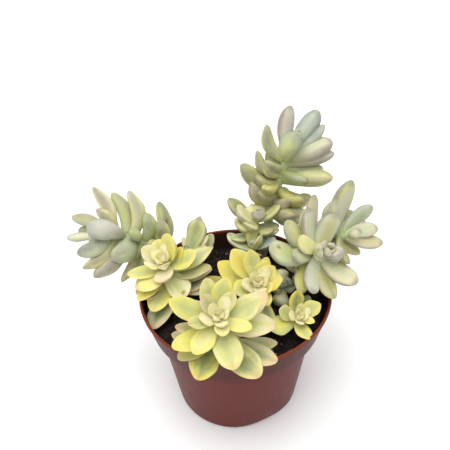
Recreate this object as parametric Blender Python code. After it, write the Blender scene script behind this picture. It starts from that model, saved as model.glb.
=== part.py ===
"""A variegated rosette succulent in a low round nursery pot.

Millimetres are used for every size below and are turned into metres when a mesh is made.
The origin is the centre of the pot's underside, +Z is up, and -Y is the side that the plant
leans to.
"""

import math
from collections import namedtuple

import bmesh
import bpy
from mathutils import Vector

MM = 0.001

# Clearance between pieces that touch
GAP = 0.3

# Pot
POT_HEIGHT = 76.5
RIM_RADIUS = 52.5
COLLAR_HEIGHT = 18.2
COLLAR_FOOT_RADIUS = 47.7
BODY_TOP_RADIUS = 43.4
BASE_RADIUS = 34.8
BASE_ROUNDING = 2.2
STEP_ROUNDING = 0.5
LIP_ROUNDING = 0.4
WALL = 1.2
FLOOR = 1.6
POT_SIDES = 56
DRAIN_COUNT = 6
DRAIN_RADIUS = 3.5
DRAIN_CIRCLE = 25.0
DRAIN_SIDES = 16
SHARP_EDGE = math.radians(35)

# Soil
SOIL_LEVEL = POT_HEIGHT - 10.5
SOIL_CROWN = 2.0
SOIL_ROUGHNESS = 0.7
SOIL_SIDES = 36
SOIL_RINGS = (1.0, 0.93, 0.75, 0.5, 0.25)

# Waves of the soil surface: radians a millimetre along X and Y, phase, and share of the roughness
SOIL_WAVES = (
    (0.21, 0.17, 0.5, 0.5),
    (0.21, -0.17, 1.3, 0.5),
    (0.45, -0.31, 0.0, 0.6),
    (0.23, 0.62, 1.57, 0.4),
)

# Stems
STEM_SIDES = 8
STEM_STEPS = 9
STEM_TAPER = 0.8
STEM_TIP = 0.45
CURVE_STEPS = 200
SOCKET_SIDES = 10
SOCKET_SHARES = (0.0, 0.15, 0.35, 0.6)

# Leaves: a leaf of at least this length times width, in square millimetres, is a piece of its
# own, and a smaller one is grown onto its shoot
OWN_LEAF_AREA = 190.0
LEAF_FULLNESS = 0.85
LEAF_BOW = 0.06

# Outline of a leaf from base to tip: place along it, half width and half thickness as shares
# of the widest and thickest
LEAF_STATIONS = (
    (0.00, 0.30, 0.55),
    (0.22, 0.55, 0.80),
    (0.50, 0.92, 1.00),
    (0.72, 1.00, 0.85),
    (0.90, 0.58, 0.50),
)

# Around the leaf: across as a share of half width, and towards the upper or lower face
LEAF_SECTION = (
    (1.00, 0.10),
    (0.50, 0.55),
    (-0.50, 0.55),
    (-1.00, 0.10),
    (-0.50, -0.85),
    (0.50, -0.85),
)

# A leaf leaves its shoot at "place" below the growing tip. "turn" is measured around the shoot
# from the side nearest -Y, and "lift" from square across the shoot towards its tip.
Leaf = namedtuple("Leaf", "turn lift length width place")

# A shoot's path is the four control points of its curve, from the rooted end to the growing tip
Shoot = namedtuple("Shoot", "name path radius plumpness leaves")

SHOOTS = (
    Shoot("front_rosette", ((-12, -36, 54), (-12, -36, 76), (-10, -37, 91), (-9, -42, 101)), 2.4, 0.40, (
        Leaf(10, 30, 13, 6.5, 2),
        Leaf(295, 30, 18, 6.5, 3),
        Leaf(235, 50, 16, 7, 3),
        Leaf(65, 25, 18, 6.5, 3.5),
        Leaf(145, 44, 15, 7, 2.5),
        Leaf(330, 10, 22, 9.5, 5),
        Leaf(205, 40, 21, 9, 5),
        Leaf(170, 45, 21, 9, 5),
        Leaf(108, 32, 23, 11, 6),
        Leaf(260, 25, 26, 12, 7),
        Leaf(85, 10, 27, 13, 8),
        Leaf(15, 10, 27, 13, 8),
        Leaf(305, 5, 25, 11, 10),
        Leaf(341, -3, 26, 13, 18.5),
        Leaf(37, 5, 32, 14, 18),
        Leaf(62, 4, 32, 12, 21),
        Leaf(120, 20, 28, 11, 11),
        Leaf(310, -5, 23, 9, 16),
        Leaf(275, 10, 20, 7, 14),
        Leaf(85, 10, 30, 10, 28),
    )),
    Shoot("left_rosette", ((-33, 4, 54), (-33, 3, 76), (-36, 7, 88), (-38, 3, 98)), 2.2, 0.48, (
        Leaf(0, 20, 15, 8, 4),
        Leaf(130, 60, 18, 9.5, 4),
        Leaf(245, 50, 15, 7, 4),
        Leaf(285, 15, 20, 7.5, 6),
        Leaf(305, 0, 19, 9, 6),
        Leaf(315, -5, 22, 8, 9),
        Leaf(335, -15, 22, 9.5, 12),
        Leaf(335, -20, 27, 10.5, 18),
        Leaf(25, -10, 20, 12, 8),
        Leaf(80, 25, 20, 8.5, 5),
        Leaf(100, 10, 25, 9, 8),
        Leaf(110, 36, 14, 7, 7),
        Leaf(75, 10, 24, 9, 11),
    )),
    Shoot("back_left_sprout", ((-22, 27, 54), (-22, 27, 70), (-24, 25, 80), (-26, 23, 87)), 1.6, 0.50, (
        Leaf(145, 30, 20, 9.5, 3),
        Leaf(125, 20, 18, 7, 9),
        Leaf(115, 25, 15, 3.5, 5),
        Leaf(100, 15, 14, 3.5, 8),
        Leaf(120, 30, 12, 3.5, 7),
    )),
    Shoot("centre_rosette", ((10, 1, 54), (10, 1, 76), (11, -5, 84), (12, -10, 92)), 2.2, 0.45, (
        Leaf(220, 20, 22, 10, 6),
        Leaf(240, 10, 23, 10, 10),
        Leaf(200, 35, 19, 7.5, 4),
        Leaf(160, 40, 14, 7, 5),
        Leaf(135, 35, 13, 7, 3),
        Leaf(95, 40, 15, 8, 5),
        Leaf(295, 25, 15, 8.5, 4),
        Leaf(25, 25, 14, 6.5, 5),
        Leaf(20, 15, 24, 7, 10),
        Leaf(255, 0, 27, 7, 15),
        Leaf(10, 40, 11, 5, 3),
        Leaf(310, 40, 10, 5, 2.5),
    )),
    Shoot("right_rosette", ((29, -16, 54), (29, -16, 69), (31, -20, 74), (33, -24, 80)), 1.6, 0.45, (
        Leaf(200, 50, 9, 4, 2),
        Leaf(130, 40, 14, 7, 4),
        Leaf(70, 40, 9, 3.5, 2),
        Leaf(20, 38, 16, 7, 6),
        Leaf(305, 20, 18, 8.5, 6),
        Leaf(265, 30, 13, 6.5, 5),
        Leaf(195, 35, 15, 6.5, 6),
        Leaf(155, 20, 14, 6.5, 8),
    )),
    Shoot("inner_sprout", ((25, 8, 54), (25, 8, 68), (26, 6, 72), (27, 3, 77)), 1.4, 0.55, (
        Leaf(125, 75, 8, 4.5, 2),
        Leaf(290, 70, 9, 4.5, 3),
        Leaf(60, 45, 8, 4.5, 3),
        Leaf(355, 25, 14, 8.5, 5),
        Leaf(310, 45, 10, 5, 5),
    )),
    Shoot("right_cluster", ((32, 10, 54), (33, 10, 82), (42, 6, 97), (48, 0, 104)), 2.6, 0.60, (
        Leaf(260, 60, 8, 5, 2),
        Leaf(65, 70, 12, 6, 3),
        Leaf(275, 10, 17, 7.5, 4),
        Leaf(305, 50, 14, 6.5, 4),
        Leaf(0, 0, 23, 9, 6),
        Leaf(30, 5, 25, 8.5, 9),
        Leaf(65, 15, 25, 10.5, 6),
        Leaf(285, 5, 28, 11, 11),
        Leaf(280, 55, 20, 7, 28),
        Leaf(250, 15, 25, 9.5, 10),
        Leaf(225, 25, 25, 9, 7),
        Leaf(210, 30, 26, 7, 14),
        Leaf(185, 35, 22, 10.5, 6),
        Leaf(350, -10, 21, 7.5, 13),
    )),
    Shoot("far_right_cluster", ((33, 18, 54), (38, 20, 84), (50, 18, 98), (63, 13, 104)), 2.4, 0.62, (
        Leaf(150, 30, 18, 10.5, 6),
        Leaf(215, 35, 31, 11, 9),
        Leaf(170, 35, 24, 7, 5),
        Leaf(135, 50, 18, 6.5, 3),
        Leaf(105, 40, 22, 7, 4),
        Leaf(95, 10, 18, 7, 8),
        Leaf(15, 15, 18, 7.5, 7),
        Leaf(200, 20, 30, 7.5, 22),
    )),
    Shoot("left_cluster", ((-28, 22, 54), (-32, 27, 84), (-54, 31, 95), (-74, 27, 97)), 2.6, 0.75, (
        Leaf(135, 25, 28, 7, 7),
        Leaf(150, 25, 26, 8, 14),
        Leaf(125, 20, 26, 7.5, 18),
        Leaf(130, 30, 26, 7.5, 33),
        Leaf(140, 20, 22, 6, 35),
        Leaf(110, 20, 17, 7.5, 25),
        Leaf(50, 60, 23, 10.5, 12),
        Leaf(170, 53, 22, 7, 3),
        Leaf(205, 50, 17, 6.5, 2),
        Leaf(225, 65, 21, 5, 1.5),
        Leaf(340, 55, 21, 8.5, 5),
        Leaf(325, 40, 26, 6.5, 9),
        Leaf(315, 27, 28, 9, 14),
        Leaf(305, 0, 25, 5.5, 20),
        Leaf(345, 25, 18, 11, 17),
        Leaf(280, 0, 17, 7, 27),
    )),
    Shoot("tall_shoot", ((15, 30, 54), (19, 50, 84), (27, 56, 112), (36, 56, 136)), 2.8, 0.65, (
        Leaf(200, 55, 28, 9, 11),
        Leaf(145, 50, 26, 10, 6),
        Leaf(120, 45, 24, 7, 8),
        Leaf(100, 35, 26, 11, 12),
        Leaf(90, 28, 27, 8, 15),
        Leaf(245, 40, 23, 8, 14),
        Leaf(330, 70, 20, 11, 12),
        Leaf(250, 25, 19, 7, 23),
        Leaf(255, 15, 24, 10.5, 31),
        Leaf(210, 20, 13, 6.5, 29),
        Leaf(75, 20, 29, 11, 25),
        Leaf(90, 15, 22, 8, 19),
        Leaf(105, -10, 22, 8.5, 36),
        Leaf(105, 10, 23, 8, 39),
        Leaf(280, 25, 15, 7, 37),
        Leaf(30, 25, 13, 7, 40),
        Leaf(80, 5, 21, 8, 44),
    )),
    Shoot("back_shoot", ((10, 35, 54), (11, 38, 74), (13.5, 40, 90), (14.5, 39.5, 97)), 1.8, 0.55, (
        Leaf(240, 25, 21, 8, 6),
        Leaf(275, 35, 15, 8.5, 4),
        Leaf(0, 60, 8, 6, 1),
        Leaf(103, 42, 16, 5.5, 4),
        Leaf(290, 15, 14, 7.5, 7),
        Leaf(95, 5, 13, 6, 8),
        Leaf(75, 20, 14, 5, 12),
    )),
    Shoot("middle_sprout", ((8, 24, 54), (8, 25, 70), (10, 29, 77), (11, 29, 85)), 1.4, 0.50, (
        Leaf(200, 70, 15, 6, 3),
        Leaf(250, 20, 16, 7, 4),
        Leaf(95, 30, 14, 5.5, 3),
        Leaf(15, 20, 10, 4.5, 5),
    )),
)

# Colours, measured by eye from the photograph, as linear red, green and blue
POT_COLOUR = (0.17, 0.055, 0.045)
SOIL_COLOUR = (0.012, 0.009, 0.008)
STEM_COLOUR = (0.30, 0.36, 0.20)
YELLOW_LEAF = (0.80, 0.72, 0.22)
GREY_GREEN_LEAF = (0.42, 0.48, 0.32)
YELLOW_SHOOTS = ("front_rosette", "left_rosette", "centre_rosette", "right_rosette")


def clear_scene():
    """Remove every object that the scene starts with."""
    for obj in list(bpy.data.objects):
        bpy.data.objects.remove(obj, do_unlink=True)


def make_material(name, colour, roughness):
    """Return a plain, non-metallic material of one colour."""
    material = bpy.data.materials.new(name)
    material.use_nodes = True
    shader = material.node_tree.nodes["Principled BSDF"]
    shader.inputs["Base Color"].default_value = (*colour, 1.0)
    shader.inputs["Roughness"].default_value = roughness
    shader.inputs["Metallic"].default_value = 0.0
    return material


def make_object(name, points, faces, material):
    """Make one closed mesh object from points in millimetres."""
    mesh = bpy.data.meshes.new(name)
    mesh.from_pydata([Vector(point) * MM for point in points], [], faces)
    shape = bmesh.new()
    shape.from_mesh(mesh)
    bmesh.ops.recalc_face_normals(shape, faces=shape.faces)
    bmesh.ops.triangulate(shape, faces=[face for face in shape.faces if len(face.verts) > 4])
    shape.to_mesh(mesh)
    shape.free()
    mesh.materials.append(material)
    mesh.shade_smooth()
    obj = bpy.data.objects.new(name, mesh)
    bpy.context.scene.collection.objects.link(obj)
    return obj


def apply_boolean(target, tools, operation):
    """Cut the tools from the target, or join them to it, and remove the tools."""
    for tool in tools:
        modifier = target.modifiers.new("Boolean", "BOOLEAN")
        modifier.operation = operation
        modifier.solver = "EXACT"
        modifier.object = tool
    depsgraph = bpy.context.evaluated_depsgraph_get()
    result = bpy.data.meshes.new_from_object(target.evaluated_get(depsgraph))
    target.modifiers.clear()
    target.data = result
    for tool in tools:
        bpy.data.objects.remove(tool, do_unlink=True)


def bridge_rings(rings, sides):
    """Return the faces of a closed skin over rings of points, capped at both ends."""
    faces = [list(range(sides))[::-1]]
    for ring in range(len(rings) - 1):
        for side in range(sides):
            after = (side + 1) % sides
            low = ring * sides
            faces.append([low + side, low + after, low + sides + after, low + sides + side])
    last = (len(rings) - 1) * sides
    faces.append(list(range(last, last + sides)))
    return faces


def curve_point(path, share):
    """Return the point at a share of the way along a shoot's curve."""
    start, lower, upper, tip = (Vector(point) for point in path)
    rest = 1.0 - share
    return (start * rest ** 3 + lower * (3 * rest ** 2 * share)
            + upper * (3 * rest * share ** 2) + tip * share ** 3)


def curve_direction(path, share):
    """Return the unit direction of growth at a share of the way along a shoot's curve."""
    start, lower, upper, tip = (Vector(point) for point in path)
    rest = 1.0 - share
    return ((lower - start) * rest ** 2 + (upper - lower) * (2 * rest * share)
            + (tip - upper) * share ** 2).normalized()


def share_at_place(path, place):
    """Return the share of a shoot's curve that ends this far below its growing tip."""
    walked = 0.0
    above = curve_point(path, 1.0)
    for step in range(1, CURVE_STEPS + 1):
        share = 1.0 - step / CURVE_STEPS
        point = curve_point(path, share)
        walked += (point - above).length
        if walked >= place:
            return share
        above = point
    return 0.0


def stem_radius(shoot, share):
    """Return a stem's radius, which tapers towards the growing tip."""
    return shoot.radius * (1.0 - (1.0 - STEM_TAPER) * share)


def ring_around(centre, axis, radius, sides):
    """Return points of a circle square to an axis."""
    first = axis.orthogonal().normalized()
    second = axis.cross(first)
    points = []
    for side in range(sides):
        angle = math.tau * side / sides
        points.append(centre + (first * math.cos(angle) + second * math.sin(angle)) * radius)
    return points


def turned_mesh(profile, sides):
    """Turn a closed outline of (radius, height) points around Z."""
    points = []
    faces = []
    count = len(profile)
    for side in range(sides):
        angle = math.tau * side / sides
        for radius, height in profile:
            points.append((radius * math.cos(angle), radius * math.sin(angle), height))
    for side in range(sides):
        after = (side + 1) % sides
        for index in range(count - 1):
            faces.append([side * count + index, after * count + index,
                          after * count + index + 1, side * count + index + 1])
    faces.append([side * count for side in range(sides)])
    faces.append([side * count + count - 1 for side in range(sides)])
    return points, faces


def pot_inner_radius(height):
    """Return the radius of the pot's inner wall at a height."""
    collar_foot = POT_HEIGHT - COLLAR_HEIGHT + WALL
    if height >= collar_foot:
        share = (height - collar_foot) / (POT_HEIGHT - collar_foot)
        return COLLAR_FOOT_RADIUS - WALL + (RIM_RADIUS - COLLAR_FOOT_RADIUS) * share
    share = (height - FLOOR) / (collar_foot - FLOOR)
    return BASE_RADIUS - WALL + (BODY_TOP_RADIUS - BASE_RADIUS) * share


def build_pot(material):
    """Make the pot: a tapered body, a wider collar, a flat floor and drain holes."""
    collar_foot = POT_HEIGHT - COLLAR_HEIGHT
    outer = [(BASE_RADIUS - BASE_ROUNDING, 0.0)]
    for step in range(1, 4):
        angle = math.radians(30 * step)
        outer.append((BASE_RADIUS - BASE_ROUNDING * (1 - math.sin(angle)),
                      BASE_ROUNDING * (1 - math.cos(angle))))
    outer.append((BODY_TOP_RADIUS, collar_foot - STEP_ROUNDING))
    outer.append((COLLAR_FOOT_RADIUS - STEP_ROUNDING, collar_foot))
    outer.append((COLLAR_FOOT_RADIUS, collar_foot + STEP_ROUNDING))
    outer.append((RIM_RADIUS, POT_HEIGHT - LIP_ROUNDING))
    outer.append((RIM_RADIUS - LIP_ROUNDING, POT_HEIGHT))
    inner_foot = collar_foot + WALL
    inner = [
        (RIM_RADIUS - WALL + LIP_ROUNDING, POT_HEIGHT),
        (RIM_RADIUS - WALL, POT_HEIGHT - LIP_ROUNDING),
        (COLLAR_FOOT_RADIUS - WALL, inner_foot),
        (BODY_TOP_RADIUS - WALL, inner_foot),
        (BASE_RADIUS - WALL, FLOOR),
    ]
    points, faces = turned_mesh(outer + inner, POT_SIDES)
    pot = make_object("pot", points, faces, material)
    drains = []
    for index in range(DRAIN_COUNT):
        angle = math.tau * (index + 0.5) / DRAIN_COUNT
        centre = Vector((DRAIN_CIRCLE * math.cos(angle), DRAIN_CIRCLE * math.sin(angle), 0.0))
        rings = []
        for height in (-FLOOR, 2 * FLOOR):
            rings.append(ring_around(centre + Vector((0, 0, height)), Vector((0, 0, 1)),
                                     DRAIN_RADIUS, DRAIN_SIDES))
        points = [point for ring in rings for point in ring]
        drains.append(make_object("drain", points, bridge_rings(rings, DRAIN_SIDES), material))
    apply_boolean(pot, drains, "DIFFERENCE")
    pot.data.set_sharp_from_angle(angle=SHARP_EDGE)


def soil_height(x, y):
    """Return the height of the uneven soil surface."""
    edge = math.hypot(x, y) / RIM_RADIUS
    height = SOIL_LEVEL + SOIL_CROWN * (1.0 - edge ** 2)
    for rate_x, rate_y, phase, strength in SOIL_WAVES:
        height += SOIL_ROUGHNESS * strength * math.sin(rate_x * x + rate_y * y + phase)
    return height


def level_ring(radius, height):
    """Return points of a level circle of soil."""
    ring = []
    for side in range(SOIL_SIDES):
        angle = math.tau * side / SOIL_SIDES
        ring.append((radius * math.cos(angle), radius * math.sin(angle), height))
    return ring


def build_soil(material):
    """Make the block of soil, with a socket for each rooted stem."""
    collar_step = POT_HEIGHT - COLLAR_HEIGHT + WALL + GAP
    rings = [
        level_ring(BASE_RADIUS - WALL - GAP, FLOOR + GAP),
        level_ring(BODY_TOP_RADIUS - WALL - GAP, collar_step),
        level_ring(COLLAR_FOOT_RADIUS - WALL - GAP, collar_step),
    ]
    top_radius = pot_inner_radius(SOIL_LEVEL) - GAP
    for share in SOIL_RINGS:
        ring = level_ring(top_radius * share, SOIL_LEVEL)
        # the outermost ring stays level, so that it keeps clear of the tapered wall
        if share < 1.0:
            ring = [(x, y, soil_height(x, y)) for x, y, _ in ring]
        rings.append(ring)
    points = [point for ring in rings for point in ring]
    soil = make_object("soil", points, bridge_rings(rings, SOIL_SIDES), material)
    sockets = []
    for shoot in SHOOTS:
        rings = []
        radius = shoot.radius / math.cos(math.pi / SOCKET_SIDES) + GAP
        for share in SOCKET_SHARES:
            centre = curve_point(shoot.path, share)
            axis = curve_direction(shoot.path, share)
            if share == 0.0:
                centre = centre - axis * GAP
            rings.append(ring_around(centre, axis, radius, SOCKET_SIDES))
        points = [point for ring in rings for point in ring]
        sockets.append(make_object("socket", points, bridge_rings(rings, SOCKET_SIDES), material))
    apply_boolean(soil, sockets, "DIFFERENCE")


def leaf_frame(shoot, leaf):
    """Return where a leaf starts on its stem's centre line, its direction and its upper side."""
    share = share_at_place(shoot.path, leaf.place)
    axis = curve_direction(shoot.path, share)
    front = Vector((0, -1, 0))
    near = (front - axis * front.dot(axis)).normalized()
    side = axis.cross(near)
    turn = math.radians(leaf.turn)
    lift = math.radians(leaf.lift)
    outward = near * math.cos(turn) + side * math.sin(turn)
    along = outward * math.cos(lift) + axis * math.sin(lift)
    upper = axis * math.cos(lift) - outward * math.sin(lift)
    return curve_point(shoot.path, share), along, upper, share


def leaf_start(shoot, leaf, share, own):
    """Return how far from the stem's centre line a leaf starts."""
    if not own:
        return 0.0
    lift = math.radians(leaf.lift)
    half_base = leaf.width * shoot.plumpness / 2 * LEAF_FULLNESS * LEAF_STATIONS[0][2]
    facing = LEAF_SECTION[1][1] if lift > 0 else LEAF_SECTION[4][1]
    reach = stem_radius(shoot, share) + GAP + half_base * facing * math.sin(lift)
    return reach / math.cos(lift)


def build_leaf(name, shoot, leaf, own, material):
    """Make one leaf: a flattened club that bows outwards and ends in a point."""
    base, along, upper, share = leaf_frame(shoot, leaf)
    across = upper.cross(along)
    start = leaf_start(shoot, leaf, share, own)
    half_width = leaf.width / 2 * LEAF_FULLNESS
    half_thickness = half_width * shoot.plumpness
    rings = []
    for place, width_share, thickness_share in LEAF_STATIONS:
        distance = start + (leaf.length - start) * place
        sag = LEAF_BOW * leaf.length * math.sin(math.pi * place)
        centre = base + along * distance - upper * sag
        ring = []
        for side, height in LEAF_SECTION:
            ring.append(centre + across * (side * half_width * width_share)
                        + upper * (height * half_thickness * thickness_share))
        rings.append(ring)
    sides = len(LEAF_SECTION)
    points = [point for ring in rings for point in ring]
    points.append(base + along * leaf.length)
    faces = bridge_rings(rings, sides)[:-1]
    last = (len(rings) - 1) * sides
    for side in range(sides):
        faces.append([last + side, last + (side + 1) % sides, len(points) - 1])
    return make_object(name, points, faces, material)


def is_own_piece(leaf):
    """Say whether a leaf is large enough to be a piece of its own."""
    return leaf.length * leaf.width >= OWN_LEAF_AREA


def build_stem(shoot, material):
    """Make a shoot's stem, rounded off at the growing tip."""
    rings = []
    for step in range(STEM_STEPS + 1):
        share = step / STEM_STEPS
        rings.append(ring_around(curve_point(shoot.path, share),
                                 curve_direction(shoot.path, share),
                                 stem_radius(shoot, share), STEM_SIDES))
    tip = curve_point(shoot.path, 1.0)
    axis = curve_direction(shoot.path, 1.0)
    radius = stem_radius(shoot, 1.0)
    rings.append(ring_around(tip + axis * radius, axis, radius * STEM_TIP, STEM_SIDES))
    points = [point for ring in rings for point in ring]
    return make_object(shoot.name + "_stem", points, bridge_rings(rings, STEM_SIDES), material)


def build_shoot(shoot, stem_material, leaf_material):
    """Make a shoot's stem with its small leaves grown on, and its large leaves apart."""
    stem = build_stem(shoot, stem_material)
    grown = []
    for number, leaf in enumerate(shoot.leaves, start=1):
        own = is_own_piece(leaf)
        name = f"{shoot.name}_leaf_{number:02d}"
        obj = build_leaf(name, shoot, leaf, own, leaf_material)
        if not own:
            grown.append(obj)
    apply_boolean(stem, grown, "UNION")


def main():
    clear_scene()
    pot_material = make_material("pot_plastic", POT_COLOUR, 0.45)
    soil_material = make_material("potting_soil", SOIL_COLOUR, 0.95)
    stem_material = make_material("stem", STEM_COLOUR, 0.6)
    yellow = make_material("yellow_leaf", YELLOW_LEAF, 0.5)
    grey_green = make_material("grey_green_leaf", GREY_GREEN_LEAF, 0.55)
    build_pot(pot_material)
    build_soil(soil_material)
    for shoot in SHOOTS:
        leaf_material = yellow if shoot.name in YELLOW_SHOOTS else grey_green
        build_shoot(shoot, stem_material, leaf_material)


main()
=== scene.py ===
"""Finish of a potted rosette succulent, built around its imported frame.

The plant is a clump of shoots in a round nursery pot. Lengths are in millimetres, and become
metres in the meshes. The pot stands on Z = 0, and -Y is the side that the camera looks from.
"""
import math
from collections import namedtuple

import bpy
import numpy as np
from bpy.props import FloatProperty, FloatVectorProperty, IntProperty, PointerProperty
from bpy.types import Operator, Panel, PropertyGroup
from mathutils import Matrix, Vector, noise


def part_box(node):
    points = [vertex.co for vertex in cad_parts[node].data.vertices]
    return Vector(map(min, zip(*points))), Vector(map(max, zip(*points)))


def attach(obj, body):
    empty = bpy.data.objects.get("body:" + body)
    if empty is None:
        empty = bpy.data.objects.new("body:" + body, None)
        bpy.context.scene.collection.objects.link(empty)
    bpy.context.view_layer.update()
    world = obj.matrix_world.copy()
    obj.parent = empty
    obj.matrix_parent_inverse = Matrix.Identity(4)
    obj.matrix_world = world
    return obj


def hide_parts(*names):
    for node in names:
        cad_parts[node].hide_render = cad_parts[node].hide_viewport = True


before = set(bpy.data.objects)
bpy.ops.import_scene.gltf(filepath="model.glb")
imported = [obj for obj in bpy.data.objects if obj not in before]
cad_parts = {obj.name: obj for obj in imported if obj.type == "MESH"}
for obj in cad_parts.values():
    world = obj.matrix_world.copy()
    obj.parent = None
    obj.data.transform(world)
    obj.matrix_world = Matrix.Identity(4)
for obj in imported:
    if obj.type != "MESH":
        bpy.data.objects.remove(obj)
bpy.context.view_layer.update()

bl_info = {
    "name": "Potted rosette succulent",
    "version": (1, 0, 0),
    "blender": (4, 5, 0),
    "location": "3D View > Sidebar > Succulent",
    "description": "Builds the leaves, stems, soil and pot of a variegated succulent",
    "category": "Add Mesh",
}

MM = 0.001
POT_LOW, POT_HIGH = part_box("pot")

# Pot, with its height and rim from the frame. It stands on a ring around its foot, inside which
# its underside is a little higher.
POT_HEIGHT = (POT_HIGH.z - POT_LOW.z) / MM
RIM_RADIUS = (POT_HIGH.x - POT_LOW.x) / 2 / MM
COLLAR_FOOT = POT_HEIGHT - 18.2
COLLAR_FOOT_RADIUS = 47.7
COLLAR_ROUNDING = 0.7
BODY_TOP_RADIUS = 43.4
BASE_RADIUS = 34.8
BASE_ROUNDING = 2.2
STANDING_RING = 5.0
UNDERSIDE = 0.8
CENTRE_RADIUS = 3.0
WALL = 1.2
FLOOR = 1.6
LIP_DEPTH = 2.0
LIP_ROUNDING = 0.55
POT_SIDES = 160
SHARP_ANGLE = math.radians(40)

# Drain holes, and from where to where the drill that cuts them reaches
DRAIN_COUNT = 6
DRAIN_RADIUS = 3.5
DRAIN_CIRCLE = 25.0
DRILL_ENDS = (-2.0, 4.0)
DRILL_SIDES = 32

# Where and how far the pot's foot is slightly flattened
DENT_TURN = math.radians(-62)
DENT_DEPTH = 2.2
DENT_HEIGHT = 14.0
DENT_WIDTH = 0.42

# Soil: its level, how far its middle stands up, its gap to the pot, and its waves and lumps
SOIL_LEVEL = POT_HEIGHT - 10.5
SOIL_CROWN = 2.0
SOIL_GAP = 0.3
SOIL_ROUGHNESS = 0.7
SOIL_SETTLED = 4.0
SOIL_SIDES = 120
SOIL_RINGS = 46
SOIL_WAVES = (
    (0.21, 0.17, 0.5, 0.5),
    (0.21, -0.17, 1.3, 0.5),
    (0.45, -0.31, 0.0, 0.6),
    (0.23, 0.62, 1.57, 0.4),
)
LUMP_RATE = 0.35
LUMP_HEIGHT = 0.55

# Steps in which a shoot's curve is measured, and the share of its stem where the tip's dome starts
CURVE_STEPS = 200
DOME_START = 0.93

# Buds at a shoot's tip, each turned by the golden angle from the one before. They grow and open
# step by step, and their length and width are multiples of their size. The first one's turn is
# in degrees for each millimetre of the stem's radius.
GOLDEN_ANGLE = 137.5
HeartBuds = namedtuple("HeartBuds", "count size centre margin")
HEART_BUDS = {
    # the rosette's buds are painted near white: their own pale colour, brightened further as a painted
    # glow at the heart
    "rosette": HeartBuds(8, 1.0, "pearl_and_painted_light", "butter"),
    "spoon": HeartBuds(3, 0.85, "mint", "rose"),
    "finger": HeartBuds(3, 0.85, "sage", "mist"),
}
BUD_FIRST_TURN = 20
BUD_GROWTH = 0.12
BUD_LIFT = 80
BUD_OPENING = 6
BUD_SPACING = 0.4
BUD_LENGTH = 2.8
BUD_WIDTH = 1.55
BUD_BLUSH = 0.2

# Short leaves in the gaps between the listed ones. Five shoots are listed in full on the side
# that faces -Y, and get short leaves only on their other side.
FILLER_START = 3.0
FILLER_STEP = 1.9
FILLER_FIRST_TURN = 55
FILLER_CLEARANCE = 26.0
FILLER_REACH = 7.0
FILLER_LOWEST_LIFT = 5
FILLER_SIZE = 0.72
LISTED_IN_FRONT = ("right_cluster", "far_right_cluster", "left_cluster", "tall_shoot", "back_shoot")
LISTED_REACH = 88.0

# How a leaf's rings crowd towards its tip, and how its thickness starts and closes
RING_CROWDING = 1.6
THICKNESS_BASE = 0.7
THICKNESS_SHOULDER = 2.4
THICKNESS_TIP = 0.58

# How uneven leaves are: in outline and in their bend sideways and up, as shares of their size,
# how far they may roll by the tip, and the depth and rate of the dimples in them
UNEVENNESS = 0.035
SAG_UNEVENNESS = 0.25
LEAF_ROLL = math.radians(12.0)
DIMPLE_DEPTH = 0.022
DIMPLE_RATE = 0.16

# Camera, fitted to the pot's rim, collar and base
CAMERA_ELEVATION = math.radians(40)
CAMERA_ROLL = math.radians(-1.96)
CAMERA_AIM = Vector((-4.4, 0.0, 123.9))
CAMERA_DISTANCE = 420.0
CAMERA_LENS = 65.95
CAMERA_SENSOR = 36.0

# Lights, with the fill's place and size in metres, and the floor, which reaches far enough that
# its edge isn't seen from low views
SUN_DIRECTION = Vector((0.12, 0.16, -1.05))
FILL_LOCATION = Vector((-0.3, -0.9, 0.7))
FILL_SIZE = 0.8
FLOOR_REACH = 30000.0
FLOOR_LEVEL = -0.1

# What the leaves' material reads from their points
LEAF_ATTRIBUTES = {
    "leaf_place": ("FLOAT_VECTOR", "vector"),
    "leaf_centre": ("FLOAT_COLOR", "color"),
    "leaf_margin": ("FLOAT_COLOR", "color"),
    "leaf_rim": ("FLOAT_COLOR", "color"),
    "leaf_marks": ("FLOAT_VECTOR", "vector"),
    "leaf_blemish": ("FLOAT", "value"),
}

# How a kind of leaf is shaped, as shares of its length, width or thickness
# widest and thickest: where along it; base: width at the foot; shoulder and tip: how the outline
# closes, squarer with a high shoulder and blunter with a low tip;
# point: how far the tip's small point stands out; edge: round (0) to lens-like (1) in section;
# upper: share of the thickness above the margin; channel: groove along the upper face;
# cup and fold: how far the margins rise, in a curve or from a crease; keel: ridge under the leaf;
# bow: how far the middle sags below a straight line;
# broad and deep: width and thickness beside those listed for a leaf;
# rim: where between midrib and edge the rim's colour starts
LeafForm = namedtuple("LeafForm", "widest thickest base shoulder tip point edge upper channel cup"
                                  " fold keel bow broad deep rim")
FORMS = {
    "rosette": LeafForm(0.65, 0.45, 0.42, 2.2, 0.60, 0.070, 0.62, 0.34, 0.05, 0.12, 0.20, 0.25, 0.07,
                        1.27, 1.05, 0.88),
    "spoon": LeafForm(0.68, 0.58, 0.46, 2.2, 0.50, 0.035, 0.34, 0.42, 0.06, 0.10, 0.08, 0.20, 0.09,
                      1.27, 1.22, 0.74),
    "finger": LeafForm(0.68, 0.62, 0.46, 2.2, 0.48, 0.030, 0.12, 0.47, 0.02, 0.03, 0.02, 0.16, 0.11,
                       1.10, 1.42, 0.62),
}

# Shoots and leaves that differ from others of their form
ODD_FORMS = {
    "front_rosette": {"broad": 1.15, "tip": 0.50},
    "left_rosette": {"broad": 1.42, "tip": 0.50},
    "left_rosette_leaf_09": {"broad": 1.08},
    "middle_sprout": {"broad": 1.50},
    "back_shoot": {"broad": 1.45},
    "left_cluster_leaf_04": {"broad": 1.38},
    "tall_shoot_leaf_04": {"broad": 1.38},
    "back_left_sprout_leaf_01": {"tip": 0.85, "point": 0.10},
}

# How a rosette leaf's rim differs from its margin
RED_RIM = (0.90, 0.66, 0.56)

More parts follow.
